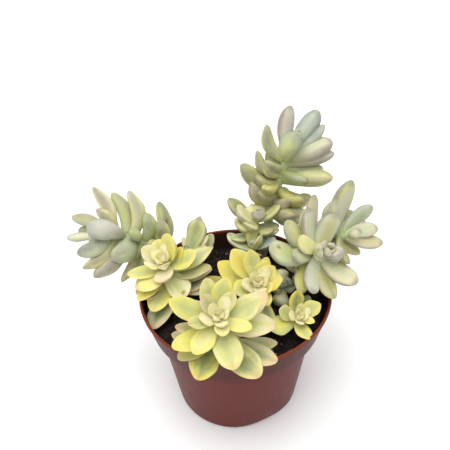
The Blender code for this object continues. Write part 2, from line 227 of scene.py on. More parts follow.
# A leaf leaves its shoot at "place" below the growing tip. "turn" is measured around the shoot
# from the side nearest -Y, and "lift" from square across the shoot towards its tip. "centre" and
# "margin" name its two colours, "blush" is how strong its rim's colour is, and "bend" how much it
# curves upwards beside others of its form.
Leaf = namedtuple("Leaf", "turn lift length width place centre margin blush bend",
                  defaults=(0.3, 1.0))

# A shoot's path is the four control points of its curve, from the rooted end to the growing tip
Shoot = namedtuple("Shoot", "name path radius plumpness form slot leaves")

SHOOTS = (
    Shoot("front_rosette", ((-12, -36, 54), (-12, -36, 76), (-10, -37, 91), (-9, -42, 101)),
          2.4, 0.40, "rosette", "yellow_leaf", (
        Leaf(10, 30, 13, 6.5, 2, "butter", "butter", 0.5),
        Leaf(295, 30, 18, 6.5, 3, "lime", "butter", 0.6),
        Leaf(235, 50, 16, 7, 3, "lime", "peach", 0.8),
        Leaf(65, 25, 18, 6.5, 3.5, "butter", "lemon", 0.3),
        Leaf(145, 44, 15, 7, 2.5, "lime", "butter", 0.4),
        Leaf(330, 10, 22, 9.5, 5, "butter", "lemon", 0.4),
        Leaf(205, 40, 21, 9, 5, "lime", "butter", 0.3),
        Leaf(170, 45, 21, 9, 5, "lime", "lemon", 0.3),
        Leaf(108, 32, 23, 11, 6, "lime", "butter", 0.3),
        Leaf(260, 25, 26, 12, 7, "lime", "lemon", 0.3),
        Leaf(85, 10, 27, 13, 8, "lime", "peach", 0.6),
        Leaf(15, 10, 27, 13, 8, "lime", "butter", 0.6),
        Leaf(305, 5, 25, 11, 10, "lemon", "lemon", 0.4),
        Leaf(341, -3, 26, 13, 18.5, "fern", "lemon", 0.6),
        Leaf(37, 5, 32, 14, 18, "fern", "butter", 0.6),
        Leaf(62, 4, 32, 12, 21, "fern", "peach", 0.7),
        Leaf(120, 20, 28, 11, 11, "butter", "peach", 0.7),
        Leaf(310, -5, 23, 9, 16, "lime", "tan", 0.4),
        Leaf(275, 10, 20, 7, 14, "tan", "peach", 0.9),
        Leaf(85, 10, 30, 10, 28, "sage", "tan", 0.4),
    )),
    Shoot("left_rosette", ((-33, 4, 54), (-33, 3, 76), (-36, 7, 88), (-38, 3, 98)),
          2.2, 0.48, "rosette", "yellow_leaf", (
        Leaf(0, 20, 15, 8, 4, "cream", "peach", 0.8),
        Leaf(130, 60, 18, 9.5, 4, "lemon", "lemon", 0.3),
        Leaf(245, 50, 15, 7, 4, "butter", "cream", 0.6),
        Leaf(285, 15, 20, 7.5, 6, "lime", "lemon", 0.3),
        Leaf(305, 0, 19, 9, 6, "lemon", "butter", 0.3),
        Leaf(315, -5, 22, 8, 9, "gold", "lemon", 0.5),
        Leaf(335, -15, 22, 9.5, 12, "lime", "lemon", 0.4),
        Leaf(335, -20, 27, 10.5, 18, "fern", "peach", 0.6),
        Leaf(25, -10, 20, 12, 8, "lime", "cream", 0.7),
        Leaf(80, 25, 20, 8.5, 5, "lime", "lemon", 0.3),
        Leaf(100, 10, 25, 9, 8, "sage", "butter", 0.4),
        Leaf(110, 36, 14, 7, 7, "gold", "lemon", 0.3),
        Leaf(75, 10, 24, 9, 11, "lime", "tan", 0.5),
    )),
    Shoot("back_left_sprout", ((-22, 27, 54), (-22, 27, 70), (-24, 25, 80), (-26, 23, 87)),
          1.6, 0.50, "spoon", "grey_green_leaf", (
        Leaf(145, 30, 20, 9.5, 3, "fern", "butter", 0.9),
        Leaf(125, 20, 18, 7, 9, "lime", "tan", 0.4),
        Leaf(115, 25, 15, 3.5, 5, "butter", "cream", 0.3),
        Leaf(100, 15, 14, 3.5, 8, "sage", "cream", 0.3),
        Leaf(120, 30, 12, 3.5, 7, "butter", "cream", 0.3),
    )),
    Shoot("centre_rosette", ((10, 1, 54), (10, 1, 76), (11, -5, 84), (12, -10, 92)),
          2.2, 0.45, "rosette", "yellow_leaf", (
        Leaf(220, 20, 22, 10, 6, "gold", "lemon", 0.3),
        Leaf(240, 10, 23, 10, 10, "lemon", "gold", 0.3),
        Leaf(200, 35, 19, 7.5, 4, "lime", "lemon", 0.3),
        Leaf(160, 40, 14, 7, 5, "lemon", "lemon", 0.3),
        Leaf(135, 35, 13, 7, 3, "butter", "lemon", 0.3),
        Leaf(95, 40, 15, 8, 5, "lemon", "gold", 0.3),
        Leaf(295, 25, 15, 8.5, 4, "lime", "lemon", 0.3),
        Leaf(25, 25, 14, 6.5, 5, "butter", "gold", 0.6),
        Leaf(20, 15, 24, 7, 10, "fern", "butter", 0.4),
        Leaf(255, 0, 27, 7, 15, "lime", "gold", 0.3),
        Leaf(10, 40, 11, 5, 3, "butter", "cream", 0.5),
        Leaf(310, 40, 10, 5, 2.5, "butter", "cream", 0.5),
    )),
    Shoot("right_rosette", ((29, -16, 54), (29, -16, 69), (31, -20, 74), (33, -24, 80)),
          1.6, 0.45, "rosette", "yellow_leaf", (
        Leaf(200, 50, 9, 4, 2, "butter", "butter", 0.4),
        Leaf(130, 40, 14, 7, 4, "lime", "lemon", 0.3),
        Leaf(70, 40, 9, 3.5, 2, "butter", "lemon", 0.3),
        Leaf(20, 38, 16, 7, 6, "lime", "lemon", 0.4),
        Leaf(305, 20, 18, 8.5, 6, "lemon", "lime", 0.3),
        Leaf(265, 30, 13, 6.5, 5, "lime", "butter", 0.3),
        Leaf(195, 35, 15, 6.5, 6, "fern", "gold", 0.3),
        Leaf(155, 20, 14, 6.5, 8, "fern", "fern", 0.2),
    )),
    Shoot("inner_sprout", ((25, 8, 54), (25, 8, 68), (26, 6, 72), (27, 3, 77)),
          1.4, 0.55, "finger", "grey_green_leaf", (
        Leaf(125, 75, 8, 4.5, 2, "slate", "mist", 0.1),
        Leaf(290, 70, 9, 4.5, 3, "slate", "mist", 0.1),
        Leaf(60, 45, 8, 4.5, 3, "slate", "sage", 0.1),
        # painted light: these two leaves get brighter colours than their neighbours, standing in for light
        # on them where they lie in shade under the leaves above
        Leaf(355, 25, 14, 8.5, 5, "pearl_and_painted_light", "lime", 0.5),
        Leaf(310, 45, 10, 5, 5, "cream", "tan", 0.4),
    )),
    Shoot("right_cluster", ((32, 10, 54), (33, 10, 82), (42, 6, 97), (48, 0, 104)),
          2.6, 0.60, "spoon", "grey_green_leaf", (
        Leaf(260, 60, 8, 5, 2, "rose", "rose", 0.8),
        Leaf(65, 70, 12, 6, 3, "lilac", "rose", 0.6),
        Leaf(275, 10, 17, 7.5, 4, "butter", "butter", 0.3),
        Leaf(305, 50, 14, 6.5, 4, "sage", "cream", 0.4),
        Leaf(0, 0, 23, 9, 6, "mint", "lilac", 0.8, 1.6),
        Leaf(30, 5, 25, 8.5, 9, "shaded_olive", "tan", 0.3),
        Leaf(65, 15, 25, 10.5, 6, "mint", "peach", 0.9),
        Leaf(285, 5, 28, 11, 11, "lime", "mint", 0.6),
        Leaf(280, 55, 20, 7, 28, "butter", "cream", 0.4),
        Leaf(250, 15, 25, 9.5, 10, "butter", "sage", 0.5),
        Leaf(225, 25, 25, 9, 7, "mint", "rose", 0.9),
        Leaf(210, 30, 26, 7, 14, "rose", "butter", 0.6),
        Leaf(185, 35, 22, 10.5, 6, "tan", "mint", 0.9),
        Leaf(350, -10, 21, 7.5, 13, "lemon", "lime", 0.3),
    )),
    Shoot("far_right_cluster", ((33, 18, 54), (38, 20, 84), (50, 18, 98), (63, 13, 104)),
          2.4, 0.62, "spoon", "grey_green_leaf", (
        Leaf(150, 30, 18, 10.5, 6, "lime", "rose", 0.9),
        Leaf(215, 35, 31, 11, 9, "lilac", "lime", 0.8),
        Leaf(170, 35, 24, 7, 5, "sage", "mist", 0.6),
        Leaf(135, 50, 18, 6.5, 3, "mint", "rose", 0.7),
        Leaf(105, 40, 22, 7, 4, "tan", "rose", 0.7),
        Leaf(95, 10, 18, 7, 8, "shaded_olive", "tan", 0.3),
        Leaf(15, 15, 18, 7.5, 7, "shaded_olive", "tan", 0.4),
        Leaf(200, 20, 30, 7.5, 22, "rose", "tan", 0.5),
    )),
    Shoot("left_cluster", ((-28, 22, 54), (-32, 27, 84), (-54, 31, 95), (-74, 27, 97)),
          2.6, 0.75, "finger", "grey_green_leaf", (
        Leaf(135, 25, 28, 7, 7, "cream", "peach", 0.8),
        Leaf(150, 25, 26, 8, 14, "mint", "lime", 0.5, 1.4),
        Leaf(125, 20, 26, 7.5, 18, "butter", "cream", 0.6, 1.4),
        Leaf(130, 30, 26, 7.5, 33, "butter", "fern", 0.6),
        Leaf(140, 20, 22, 6, 35, "mist", "sage", 0.3),
        Leaf(110, 20, 17, 7.5, 25, "lime", "sage", 0.5),
        Leaf(50, 60, 23, 10.5, 12, "lilac", "mist", 0.4),
        Leaf(170, 53, 22, 7, 3, "mist", "tan", 0.4),
        Leaf(205, 50, 17, 6.5, 2, "slate", "shaded_olive", 0.2),
        Leaf(225, 65, 21, 5, 1.5, "cream", "mist", 0.4),
        Leaf(340, 55, 21, 8.5, 5, "mint", "slate", 0.6),
        Leaf(325, 40, 26, 6.5, 9, "tan", "butter", 0.8),
        Leaf(315, 27, 28, 9, 14, "mint", "rose", 0.8),
        Leaf(305, 0, 25, 5.5, 20, "shaded_olive", "tan", 0.2),
        Leaf(345, 25, 18, 11, 17, "sage", "mint", 0.6),
        Leaf(280, 0, 17, 7, 27, "sage", "lime", 0.2),
    )),
    Shoot("tall_shoot", ((15, 30, 54), (19, 50, 84), (27, 56, 112), (36, 56, 136)),
          2.8, 0.65, "finger", "grey_green_leaf", (
        Leaf(200, 55, 28, 9, 11, "lilac", "rose", 0.9),
        Leaf(145, 50, 26, 10, 6, "mist", "slate", 0.5),
        Leaf(120, 45, 24, 7, 8, "slate", "mist", 0.3),
        Leaf(100, 35, 26, 11, 12, "mint", "rose", 0.9, 0.4),
        Leaf(90, 28, 27, 8, 15, "lilac", "rose", 0.6, 0.4),
        Leaf(245, 40, 23, 8, 14, "butter", "sage", 0.5, 1.8),
        Leaf(330, 70, 20, 11, 12, "lime", "slate", 0.4),
        Leaf(250, 25, 19, 7, 23, "butter", "sage", 0.5, 1.9),
        Leaf(255, 15, 24, 10.5, 31, "lime", "shaded_olive", 0.4),
        Leaf(210, 20, 13, 6.5, 29, "tan", "rose", 0.5),
        Leaf(75, 20, 29, 11, 25, "sage", "butter", 0.4, -0.3),
        Leaf(90, 15, 22, 8, 19, "sage", "tan", 0.3),
        Leaf(105, -10, 22, 8.5, 36, "shaded_olive", "lemon", 0.3),
        Leaf(105, 10, 23, 8, 39, "shaded_olive", "tan", 0.3),
        Leaf(280, 25, 15, 7, 37, "shaded_olive", "tan", 0.5),
        Leaf(30, 25, 13, 7, 40, "rose", "tan", 0.5),
        Leaf(80, 5, 21, 8, 44, "sage", "cream", 0.3),
    )),
    Shoot("back_shoot", ((10, 35, 54), (11, 38, 74), (13.5, 40, 90), (14.5, 39.5, 97)),
          1.8, 0.55, "spoon", "grey_green_leaf", (
        Leaf(240, 25, 21, 8, 6, "fern", "tan", 0.7),
        Leaf(275, 35, 15, 8.5, 4, "butter", "cream", 0.4),
        Leaf(0, 60, 8, 6, 1, "rose", "rose", 0.7),
        Leaf(103, 42, 16, 5.5, 4, "lime", "butter", 0.3),
        Leaf(290, 15, 14, 7.5, 7, "sage", "butter", 0.4),
        Leaf(95, 5, 13, 6, 8, "sage", "tan", 0.3),
        Leaf(75, 20, 14, 5, 12, "sage", "tan", 0.3),
    )),
    Shoot("middle_sprout", ((8, 24, 54), (8, 25, 70), (10, 29, 77), (11, 29, 85)),
          1.4, 0.50, "spoon", "grey_green_leaf", (
        Leaf(200, 70, 15, 6, 3, "lime", "butter", 0.3),
        Leaf(250, 20, 16, 7, 4, "sage", "cream", 0.4),
        Leaf(95, 30, 14, 5.5, 3, "slate", "mist", 0.2),
        Leaf(15, 20, 10, 4.5, 5, "mist", "cream", 0.3),
    )),
)

# Leaves that cover the gaps between the listed ones and have no node of their own
COVER_LEAVES = {
    "left_rosette": (
        Leaf(325, -30, 19, 11, 10, "lemon", "butter", 0.4),
        Leaf(350, -35, 20, 11, 13, "lime", "lemon", 0.6),
        Leaf(318, 4, 19, 9, 4.5, "lemon", "butter", 0.3),
        Leaf(118, 5, 21, 8, 10, "lime", "butter", 0.5),
        Leaf(92, -2, 22, 9, 13, "lime", "cream", 0.5),
        Leaf(62, -5, 21, 9, 17, "sage", "tan", 0.5),
    ),
    "right_cluster": (
        Leaf(300, 20, 20, 7, 10, "cream", "sage", 0.6),
        Leaf(330, 48, 10, 6, 5, "mint", "rose", 0.9),
        Leaf(95, 45, 12, 7.5, 4, "lilac", "mist", 0.8),
    ),
    "left_cluster": (
        Leaf(55, 25, 13, 6, 20, "lime", "sage", 0.2),
        Leaf(320, 20, 12, 5.5, 24, "sage", "lime", 0.2),
        Leaf(40, 15, 12, 6, 29, "sage", "lime", 0.2),
    ),
    "tall_shoot": (
        Leaf(298, 18, 15, 6, 19, "butter", "sage", 0.6),
        Leaf(42, 12, 17, 6.5, 21, "lime", "sage", 0.5, 0.3),
        Leaf(322, 0, 16, 7, 28, "shaded_olive", "lemon", 0.4),
        Leaf(288, 25, 14, 6, 24, "tan", "butter", 0.6),
        Leaf(62, 12, 15, 7, 21, "lime", "sage", 0.3),
        Leaf(285, 8, 15, 7.5, 28, "shaded_olive", "tan", 0.4),
        Leaf(58, 0, 17, 8.5, 32, "shaded_olive", "lemon", 0.3),
        Leaf(310, 5, 14, 7, 35, "shaded_olive", "tan", 0.4),
        Leaf(283, 36, 20, 8, 42, "shaded_olive", "peach", 0.7),
        Leaf(35, 3, 19, 9, 42, "shaded_olive", "tan", 0.7),
        Leaf(70, -5, 18, 8, 46, "sage", "tan", 0.6),
    ),
    "back_shoot": (
        Leaf(60, 0, 16, 6, 14, "lilac", "mist", 0.5),
        Leaf(300, 0, 16, 6, 12, "sage", "butter", 0.5),
        Leaf(320, 25, 12, 6.5, 6, "cream", "butter", 0.4),
        Leaf(50, 15, 11, 6, 9, "lime", "tan", 0.3),
    ),
}

# Brown spots: place across the leaf, place along it, upper (1) or lower (-1) face, and size
BLEMISHES = {
    "left_cluster_leaf_04": (-1.0, 0.60, 0.0, 0.065),
    "right_cluster_leaf_08": (-0.30, 0.84, 1.0, 0.052),
    "left_rosette_leaf_09": (0.10, 0.90, 1.0, 0.050),
}


def colour_setting(name, description, value):
    """Return a property for a colour."""
    return FloatVectorProperty(name=name, description=description, subtype="COLOR", default=value,
                               min=0.0, max=1.0)


def radius_setting(name, description, value):
    """Return a property for a small radius, in metres."""
    return FloatProperty(name=name, description=description, subtype="DISTANCE", unit="LENGTH",
                         default=value, min=0.0001, max=0.01)


def amount_setting(name, description, value):
    """Return a property for an amount or a strength."""
    return FloatProperty(name=name, description=description, default=value, min=0.0)


class PotSettings(PropertyGroup):
    """Colours of the pot."""

    # plastic is the collar's darker colour, kept on the body just under the collar as painted shade; body
    # is the lighter colour lower down
    plastic: colour_setting("Plastic", "Colour of the moulded plastic", (0.070, 0.013, 0.008))
    body: colour_setting("Body", "Colour that the body fades to under the collar",
                         (0.136, 0.033, 0.028))
    # painted glow: the lip's colour stands in for light shining through the thin plastic
    painted_lip_glow: colour_setting("Lip", "Colour of the thin lip, where light shines through",
                        (0.19, 0.040, 0.017))
    dust: colour_setting("Dust", "Colour of dust on the pot", (0.24, 0.15, 0.13))
    # the inner wall's colour is both soil stain and painted shade inside the pot
    soil_stain_and_shade: colour_setting("Soiled", "Colour of the inner wall, stained by soil",
                           (0.030, 0.012, 0.009))


class SoilSettings(PropertyGroup):
    """Sizes and colours of the soil."""

    dark: colour_setting("Dark", "Colour of damp soil", (0.008, 0.005, 0.004))
    light: colour_setting("Light", "Colour of dry crumbs and bark", (0.048, 0.024, 0.013))
    grit: colour_setting("Grit", "Colour of the few mineral grains", (0.14, 0.14, 0.15))
    crumb_size: radius_setting("Crumb size", "Mean radius of a crumb of soil", 0.0008)
    crumb_density: amount_setting("Crumb density", "Crumbs on a square metre of soil", 460000.0)
    chip_size: radius_setting("Chip size", "Mean radius of a chip of bark", 0.0015)
    chip_density: amount_setting("Chip density", "Chips on a square metre of soil", 60000.0)


class StemSettings(PropertyGroup):
    """Shape and colours of the stems."""

    taper: FloatProperty(
        name="Taper", description="Radius at the growing tip, as a share of the radius at the root",
        default=0.8, min=0.1, max=1.0)
    scars: IntProperty(
        name="Scars", description="Scars of fallen leaves along a stem", default=24, min=0, max=60)
    green: colour_setting("Green", "Colour of young stem", (0.42, 0.50, 0.22))
    bark: colour_setting("Bark", "Colour of old stem near the soil", (0.34, 0.24, 0.13))
    cork: colour_setting("Cork", "Colour of corky marks", (0.62, 0.58, 0.46))


class LeafSettings(PropertyGroup):
    """Detail and colours of the leaves."""

    rings: IntProperty(
        name="Rings", description="Rings of points along a leaf", default=30, min=8, max=80)
    points: IntProperty(
        name="Points", description="Points around a leaf", default=28, min=8, max=80)
    lemon: colour_setting("Lemon", "Bright yellow of young leaves", (0.74, 0.68, 0.16))
    gold: colour_setting("Gold", "Warm yellow", (0.73, 0.61, 0.10))
    butter: colour_setting("Butter", "Pale yellow", (0.69, 0.645, 0.27))
    # pearl is near white: the buds' own pale colour, brightened further as painted light
    pearl_and_painted_light: colour_setting("Pearl", "Warm white of the youngest buds", (0.94, 0.87, 0.60))
    cream: colour_setting("Cream", "Nearly white", (0.72, 0.68, 0.44))
    lime: colour_setting("Lime", "Yellow green", (0.50, 0.525, 0.19))
    mint: colour_setting("Mint", "Very pale green", (0.51, 0.55, 0.34))
    sage: colour_setting("Sage", "Pale grey green", (0.35, 0.395, 0.215))
    fern: colour_setting("Fern", "Deeper green", (0.23, 0.28, 0.11))
    mist: colour_setting("Mist", "Pale blue grey", (0.45, 0.485, 0.385))
    slate: colour_setting("Slate", "Blue grey", (0.27, 0.31, 0.255))
    # olive is the leaves' own dull yellow green, made darker as painted shade for the low leaves that lie
    # under the others
    shaded_olive: colour_setting("Olive", "Dull yellow green of shaded leaves", (0.27, 0.26, 0.08))
    peach: colour_setting("Peach", "Warm cream of a sunned margin", (0.68, 0.59, 0.35))
    rose: colour_setting("Rose", "Pinkish cream", (0.55, 0.475, 0.37))
    lilac: colour_setting("Lilac", "Greyish mauve", (0.50, 0.465, 0.405))
    # the blue-grey leaves' dark mauve rim is partly their margin's own colour and partly painted shade
    # along their edges
    mauve_and_edge_shade: colour_setting("Mauve", "Rim of a blue-grey leaf", (0.24, 0.222, 0.175))
    tan: colour_setting("Tan", "Dull straw yellow", (0.50, 0.45, 0.21))
    # the foot's green is also darker than the leaf's own, as painted shade where the leaves crowd at the
    # heart
    foot_green_and_shade: colour_setting("Fresh", "Green that a leaf's foot turns to", (0.31, 0.38, 0.13))
    powder: colour_setting("Powder", "Colour of the powdery bloom", (0.50, 0.53, 0.43))
    brown: colour_setting("Brown", "Colour of spots and small marks", (0.20, 0.09, 0.03))


class StageSettings(PropertyGroup):
    """Strengths of the lights and colour of the floor."""

    floor: colour_setting("Floor", "Colour of the floor", (0.88, 0.88, 0.88))
    zenith: amount_setting("Zenith", "Strength of the sky's light overhead", 1.28)
    horizon: amount_setting("Horizon", "Strength of the sky's light from the sides", 0.43)
    sun: amount_setting("Sun", "Strength of the broad light overhead, in watts on a square metre",
                        1.72)
    sun_size: FloatProperty(
        name="Sun size", description="How wide the broad light overhead looks", subtype="ANGLE",
        unit="ROTATION", default=math.radians(50), min=0.0, max=math.pi)
    fill: amount_setting("Fill", "Strength of the light beside the camera, in watts", 0.8)


def feed(tree, inputs, values):
    """Link the values given as sockets to a node's inputs, and set the others."""
    for key, value in values.items():
        if isinstance(value, bpy.types.NodeSocket):
            tree.links.new(value, inputs[key])
        else:
            inputs[key].default_value = value


def add_node(tree, kind, values=None, **settings):
    """Add a node with its settings and the values of its inputs."""
    node = tree.nodes.new(kind)
    for name, value in settings.items():
        setattr(node, name, value)
    feed(tree, node.inputs, values or {})
    return node


def node_output(tree, kind, values=None, **settings):
    """Add a node and return its first output."""
    return add_node(tree, kind, values, **settings).outputs[0]


def calculate(tree, operation, first, second=0.0, third=0.0, clamp=False):
    """Add a Math node and return its value."""
    values = {0: first, 1: second, 2: third}
    return node_output(tree, "ShaderNodeMath", values, operation=operation, use_clamp=clamp)


def times(tree, first, second, clamp=False):
    """Return two values multiplied."""
    return calculate(tree, "MULTIPLY", first, second, clamp=clamp)


def plus(tree, first, second):
    """Return two values added."""
    return calculate(tree, "ADD", first, second)


def opaque(colour):
    """Return a colour with full alpha."""
    return (*colour, 1.0)


def blend_colours(tree, factor, first, second, blend_type="MIX"):
    """Add a colour Mix node and return its colour."""
    node = add_node(tree, "ShaderNodeMix", {0: factor, 6: first, 7: second},
                    data_type="RGBA", blend_type=blend_type)
    return node.outputs[2]


def ramp(tree, value, start, end, low=0.0, high=1.0):
    """Add a smooth Map Range node and return its value, from low at start to high at end."""
    values = {"Value": value, "From Min": start, "From Max": end, "To Min": low, "To Max": high}
    return node_output(tree, "ShaderNodeMapRange", values, interpolation_type="SMOOTHSTEP")


def noise_value(tree, vector, scale, detail=2.0, roughness=0.5):
    """Add a Noise Texture and return its value."""
    values = {"Vector": vector, "Scale": scale, "Detail": detail, "Roughness": roughness}
    return node_output(tree, "ShaderNodeTexNoise", values)


def bump(tree, height, strength, distance):
    """Add a Bump node and return its normal. Distance is in millimetres."""
    values = {"Height": height, "Strength": strength, "Distance": distance * MM}
    return node_output(tree, "ShaderNodeBump", values)


def object_place(tree):
    """Return the coordinates of the object, which don't move with the view."""
    return add_node(tree, "ShaderNodeTexCoord").outputs["Object"]


def stored(tree, attribute, output):
    """Return what the mesh stores under an attribute."""
    return add_node(tree, "ShaderNodeAttribute", attribute_name=attribute).outputs[output]


def new_group(name, kind, inputs, outputs):
    """Make an empty node group, and return it with its inputs' values and its outputs' sockets."""
    group = bpy.data.node_groups.new(name, kind)
    for socket_name, socket_type, value in inputs:
        socket = group.interface.new_socket(socket_name, in_out="INPUT", socket_type=socket_type)
        if value is not None:
            socket.default_value = value
    for socket_name, socket_type in outputs:
        group.interface.new_socket(socket_name, in_out="OUTPUT", socket_type=socket_type)
    return group, group.nodes.new("NodeGroupInput").outputs, group.nodes.new("NodeGroupOutput").inputs


def new_material(name):
    """Make a material with nodes, and return it with its tree and the inputs of its shader."""
    material = bpy.data.materials.new(name)
    material.use_nodes = True
    tree = material.node_tree
    return material, tree, tree.nodes["Principled BSDF"].inputs


def weathering_group():
    """Group for fine mottling and dust, used on the pot, the soil and the stems."""
    group, given, result = new_group("Weathering", "ShaderNodeTree", (
        ("Vector", "NodeSocketVector", None),
        ("Clean", "NodeSocketColor", (0.5, 0.5, 0.5, 1.0)),
        ("Dust", "NodeSocketColor", (0.5, 0.5, 0.5, 1.0)),
        ("Amount", "NodeSocketFloat", 0.2),
        ("Patch Scale", "NodeSocketFloat", 60.0),
        ("Grain Scale", "NodeSocketFloat", 900.0),
    ), (
        ("Colour", "NodeSocketColor"),
        ("Mask", "NodeSocketFloat"),
        ("Height", "NodeSocketFloat"),
    ))
    patches = noise_value(group, given["Vector"], given["Patch Scale"], 4.0, 0.6)
    grain = noise_value(group, given["Vector"], given["Grain Scale"], 3.0, 0.7)
    mask = times(group, ramp(group, patches, 0.42, 0.72), ramp(group, grain, 0.35, 0.75))
    mask = times(group, mask, given["Amount"], clamp=True)
    dimmed = blend_colours(group, 1.0, given["Clean"], (0.62, 0.60, 0.62, 1.0), "MULTIPLY")
    mottle = ramp(group, patches, 0.3, 0.7, 0.0, 0.22)
    mottled = blend_colours(group, mottle, given["Clean"], dimmed)
    colour = blend_colours(group, mask, mottled, given["Dust"])
    feed(group, result, {"Colour": colour, "Mask": mask, "Height": grain})
    return group


def weathered(tree, weathering, clean, dust, amount, patch_scale, grain_scale):
    """Place the weathering group in a material, and return what it puts out."""
    return add_node(tree, "ShaderNodeGroup", {
        "Vector": object_place(tree),
        "Clean": clean,
        "Dust": opaque(dust),
        "Amount": amount,
        "Patch Scale": patch_scale,
        "Grain Scale": grain_scale,
    }, node_tree=weathering).outputs


def leaf_streaks(group, across, along, seed, rates, scale, detail, roughness):
    """Return noise in streaks along a leaf, from its rates across and along the leaf."""
    spread = plus(group, times(group, across, rates[0]), times(group, seed, 7.3))
    place = node_output(group, "ShaderNodeCombineXYZ", {
        0: spread, 1: times(group, along, rates[1]), 2: seed})
    return noise_value(group, place, scale, detail, roughness)


def leaf_pattern_group():
    """Group that paints a leaf from its place on the leaf: streaks, margins, blush and bloom."""
    group, given, result = new_group("Leaf pattern", "ShaderNodeTree", (
        ("Place", "NodeSocketVector", None),
        ("Object", "NodeSocketVector", None),
        ("Seed", "NodeSocketFloat", 0.0),
        ("Centre", "NodeSocketColor", (0.4, 0.5, 0.3, 1.0)),
        ("Margin", "NodeSocketColor", (0.9, 0.8, 0.3, 1.0)),
        ("Rim", "NodeSocketColor", (0.5, 0.4, 0.2, 1.0)),
        ("Rim Start", "NodeSocketFloat", 0.8),
        ("Blush", "NodeSocketFloat", 0.3),
        ("Fresh", "NodeSocketColor", (0.3, 0.4, 0.1, 1.0)),
        ("Powder", "NodeSocketColor", (0.5, 0.5, 0.4, 1.0)),
        ("Bloom", "NodeSocketFloat", 0.25),
        ("Brown", "NodeSocketColor", (0.2, 0.1, 0.0, 1.0)),
        ("Blemish", "NodeSocketFloat", 0.0),
    ), (
        ("Colour", "NodeSocketColor"),
        ("Roughness", "NodeSocketFloat"),
        ("Height", "NodeSocketFloat"),
    ))
    across, along, face = add_node(group, "ShaderNodeSeparateXYZ", {0: given["Place"]}).outputs
    edge = calculate(group, "ABSOLUTE", across)

    # broad streaks run with the leaf, fine ones lie among them, and blots lie over both
    broad = leaf_streaks(group, across, along, given["Seed"], (1.5, 1.6), 1.6, 2.0, 0.5)
    fine = leaf_streaks(group, across, along, given["Seed"], (7.0, 1.1), 1.7, 3.0, 0.6)
    blots = noise_value(group, given["Object"], 150.0, 3.0, 0.6)

    # the margin's colour fills the edges and the tip, and breaks into the centre
    reach = edge
    for spread, amount in ((broad, 1.25), (fine, 0.20), (blots, 1.00)):
        reach = plus(group, reach, times(group, calculate(group, "SUBTRACT", spread, 0.5), amount))
    reach = plus(group, reach, ramp(group, along, 0.72, 1.0, 0.0, 0.28))
    margin = ramp(group, reach, -0.10, 1.15, 0.06, 0.92)
    colour = blend_colours(group, margin, given["Centre"], given["Margin"])

    # the foot turns greener and darker: the green is the leaf's own, and the darkening is painted shade
    # where the leaves crowd at the heart
    foot_green_and_shade = blend_colours(group, 0.60, given["Centre"], given["Fresh"])
    colour = blend_colours(group, ramp(group, along, 0.55, 0.05, 0.0, 0.70), colour, foot_green_and_shade)

    # the lower face keeps more of the centre's colour, and fine streaks lighten and darken both
    under = ramp(group, face, 0.2, -0.6, 0.0, 0.30)
    colour = blend_colours(group, under, colour, given["Centre"])
    tone = ramp(group, fine, 0.25, 0.75, 0.93, 1.03)
    colour = node_output(group, "ShaderNodeHueSaturation", {"Value": tone, "Color": colour})

    # the rim's colour lies along the margin, uneven, and stronger at the tip
    # on blue-grey leaves the dark mauve rim is partly the margin's own colour and partly painted shade
    # along the leaf's edges
    wander = times(group, calculate(group, "SUBTRACT", blots, 0.5), 0.25)
    line = ramp(group, plus(group, edge, wander), given["Rim Start"], 1.0)
    line = times(group, line, ramp(group, along, 0.2, 0.85, 0.30, 1.0))
    point = times(group, ramp(group, along, 0.86, 1.0), 0.9)
    strength = calculate(group, "MULTIPLY_ADD", given["Blush"], 0.9, 0.1)
    blush = times(group, calculate(group, "MAXIMUM", line, point), strength, clamp=True)
    colour = blend_colours(group, blush, colour, given["Rim"])

    # powdery bloom, rubbed away in patches
    patches = noise_value(group, given["Object"], 190.0, 4.0, 0.62)
    bloom = times(group, ramp(group, patches, 0.36, 0.64), given["Bloom"])
    colour = blend_colours(group, bloom, colour, given["Powder"])

    # small brown marks in a few places, and the leaf's own blemish
    grain = noise_value(group, given["Object"], 2600.0, 2.0, 0.6)
    marked = ramp(group, noise_value(group, given["Object"], 90.0), 0.55, 0.7)
    marks = times(group, times(group, ramp(group, grain, 0.66, 0.76), marked), 0.5)
    marks = calculate(group, "MAXIMUM", marks, given["Blemish"])
    colour = blend_colours(group, marks, colour, given["Brown"])

    height = plus(group, times(group, fine, 0.45), times(group, blots, 0.6))
    feed(group, result, {
        "Colour": colour,
        "Roughness": plus(group, ramp(group, patches, 0.3, 0.7, 0.44, 0.60), times(group, grain, 0.06)),
        "Height": plus(group, height, times(group, grain, 0.12)),
    })
    return group


def leaf_material(settings, pattern):
    """Material of every leaf: its own colours and marks are stored on the mesh."""
    material, tree, shader = new_material("leaf_skin")
    marks = add_node(tree, "ShaderNodeSeparateXYZ", {0: stored(tree, "leaf_marks", "Vector")})
    seed, blush, rim_start = marks.outputs
    skin = add_node(tree, "ShaderNodeGroup", {
        "Place": stored(tree, "leaf_place", "Vector"),
        "Object": object_place(tree),
        "Seed": seed,
        "Centre": stored(tree, "leaf_centre", "Color"),
        "Margin": stored(tree, "leaf_margin", "Color"),
        "Rim": stored(tree, "leaf_rim", "Color"),
        "Rim Start": rim_start,
        "Blush": blush,
        "Fresh": opaque(settings.foot_green_and_shade),
        "Powder": opaque(settings.powder),
        "Bloom": 0.20,
        "Brown": opaque(settings.brown),
        "Blemish": stored(tree, "leaf_blemish", "Fac"),
    }, node_tree=pattern).outputs
    feed(tree, shader, {
        "Base Color": skin["Colour"],
        "Roughness": skin["Roughness"],
        "Normal": bump(tree, skin["Height"], 0.35, 0.25),
        "Subsurface Weight": 0.14,
        "Subsurface Radius": (1.0, 0.8, 0.3),
        "Subsurface Scale": 2.2 * MM,
        "Sheen Weight": 0.04,
        "Sheen Roughness": 0.4,
        "Specular IOR Level": 0.26,
    })
    return material


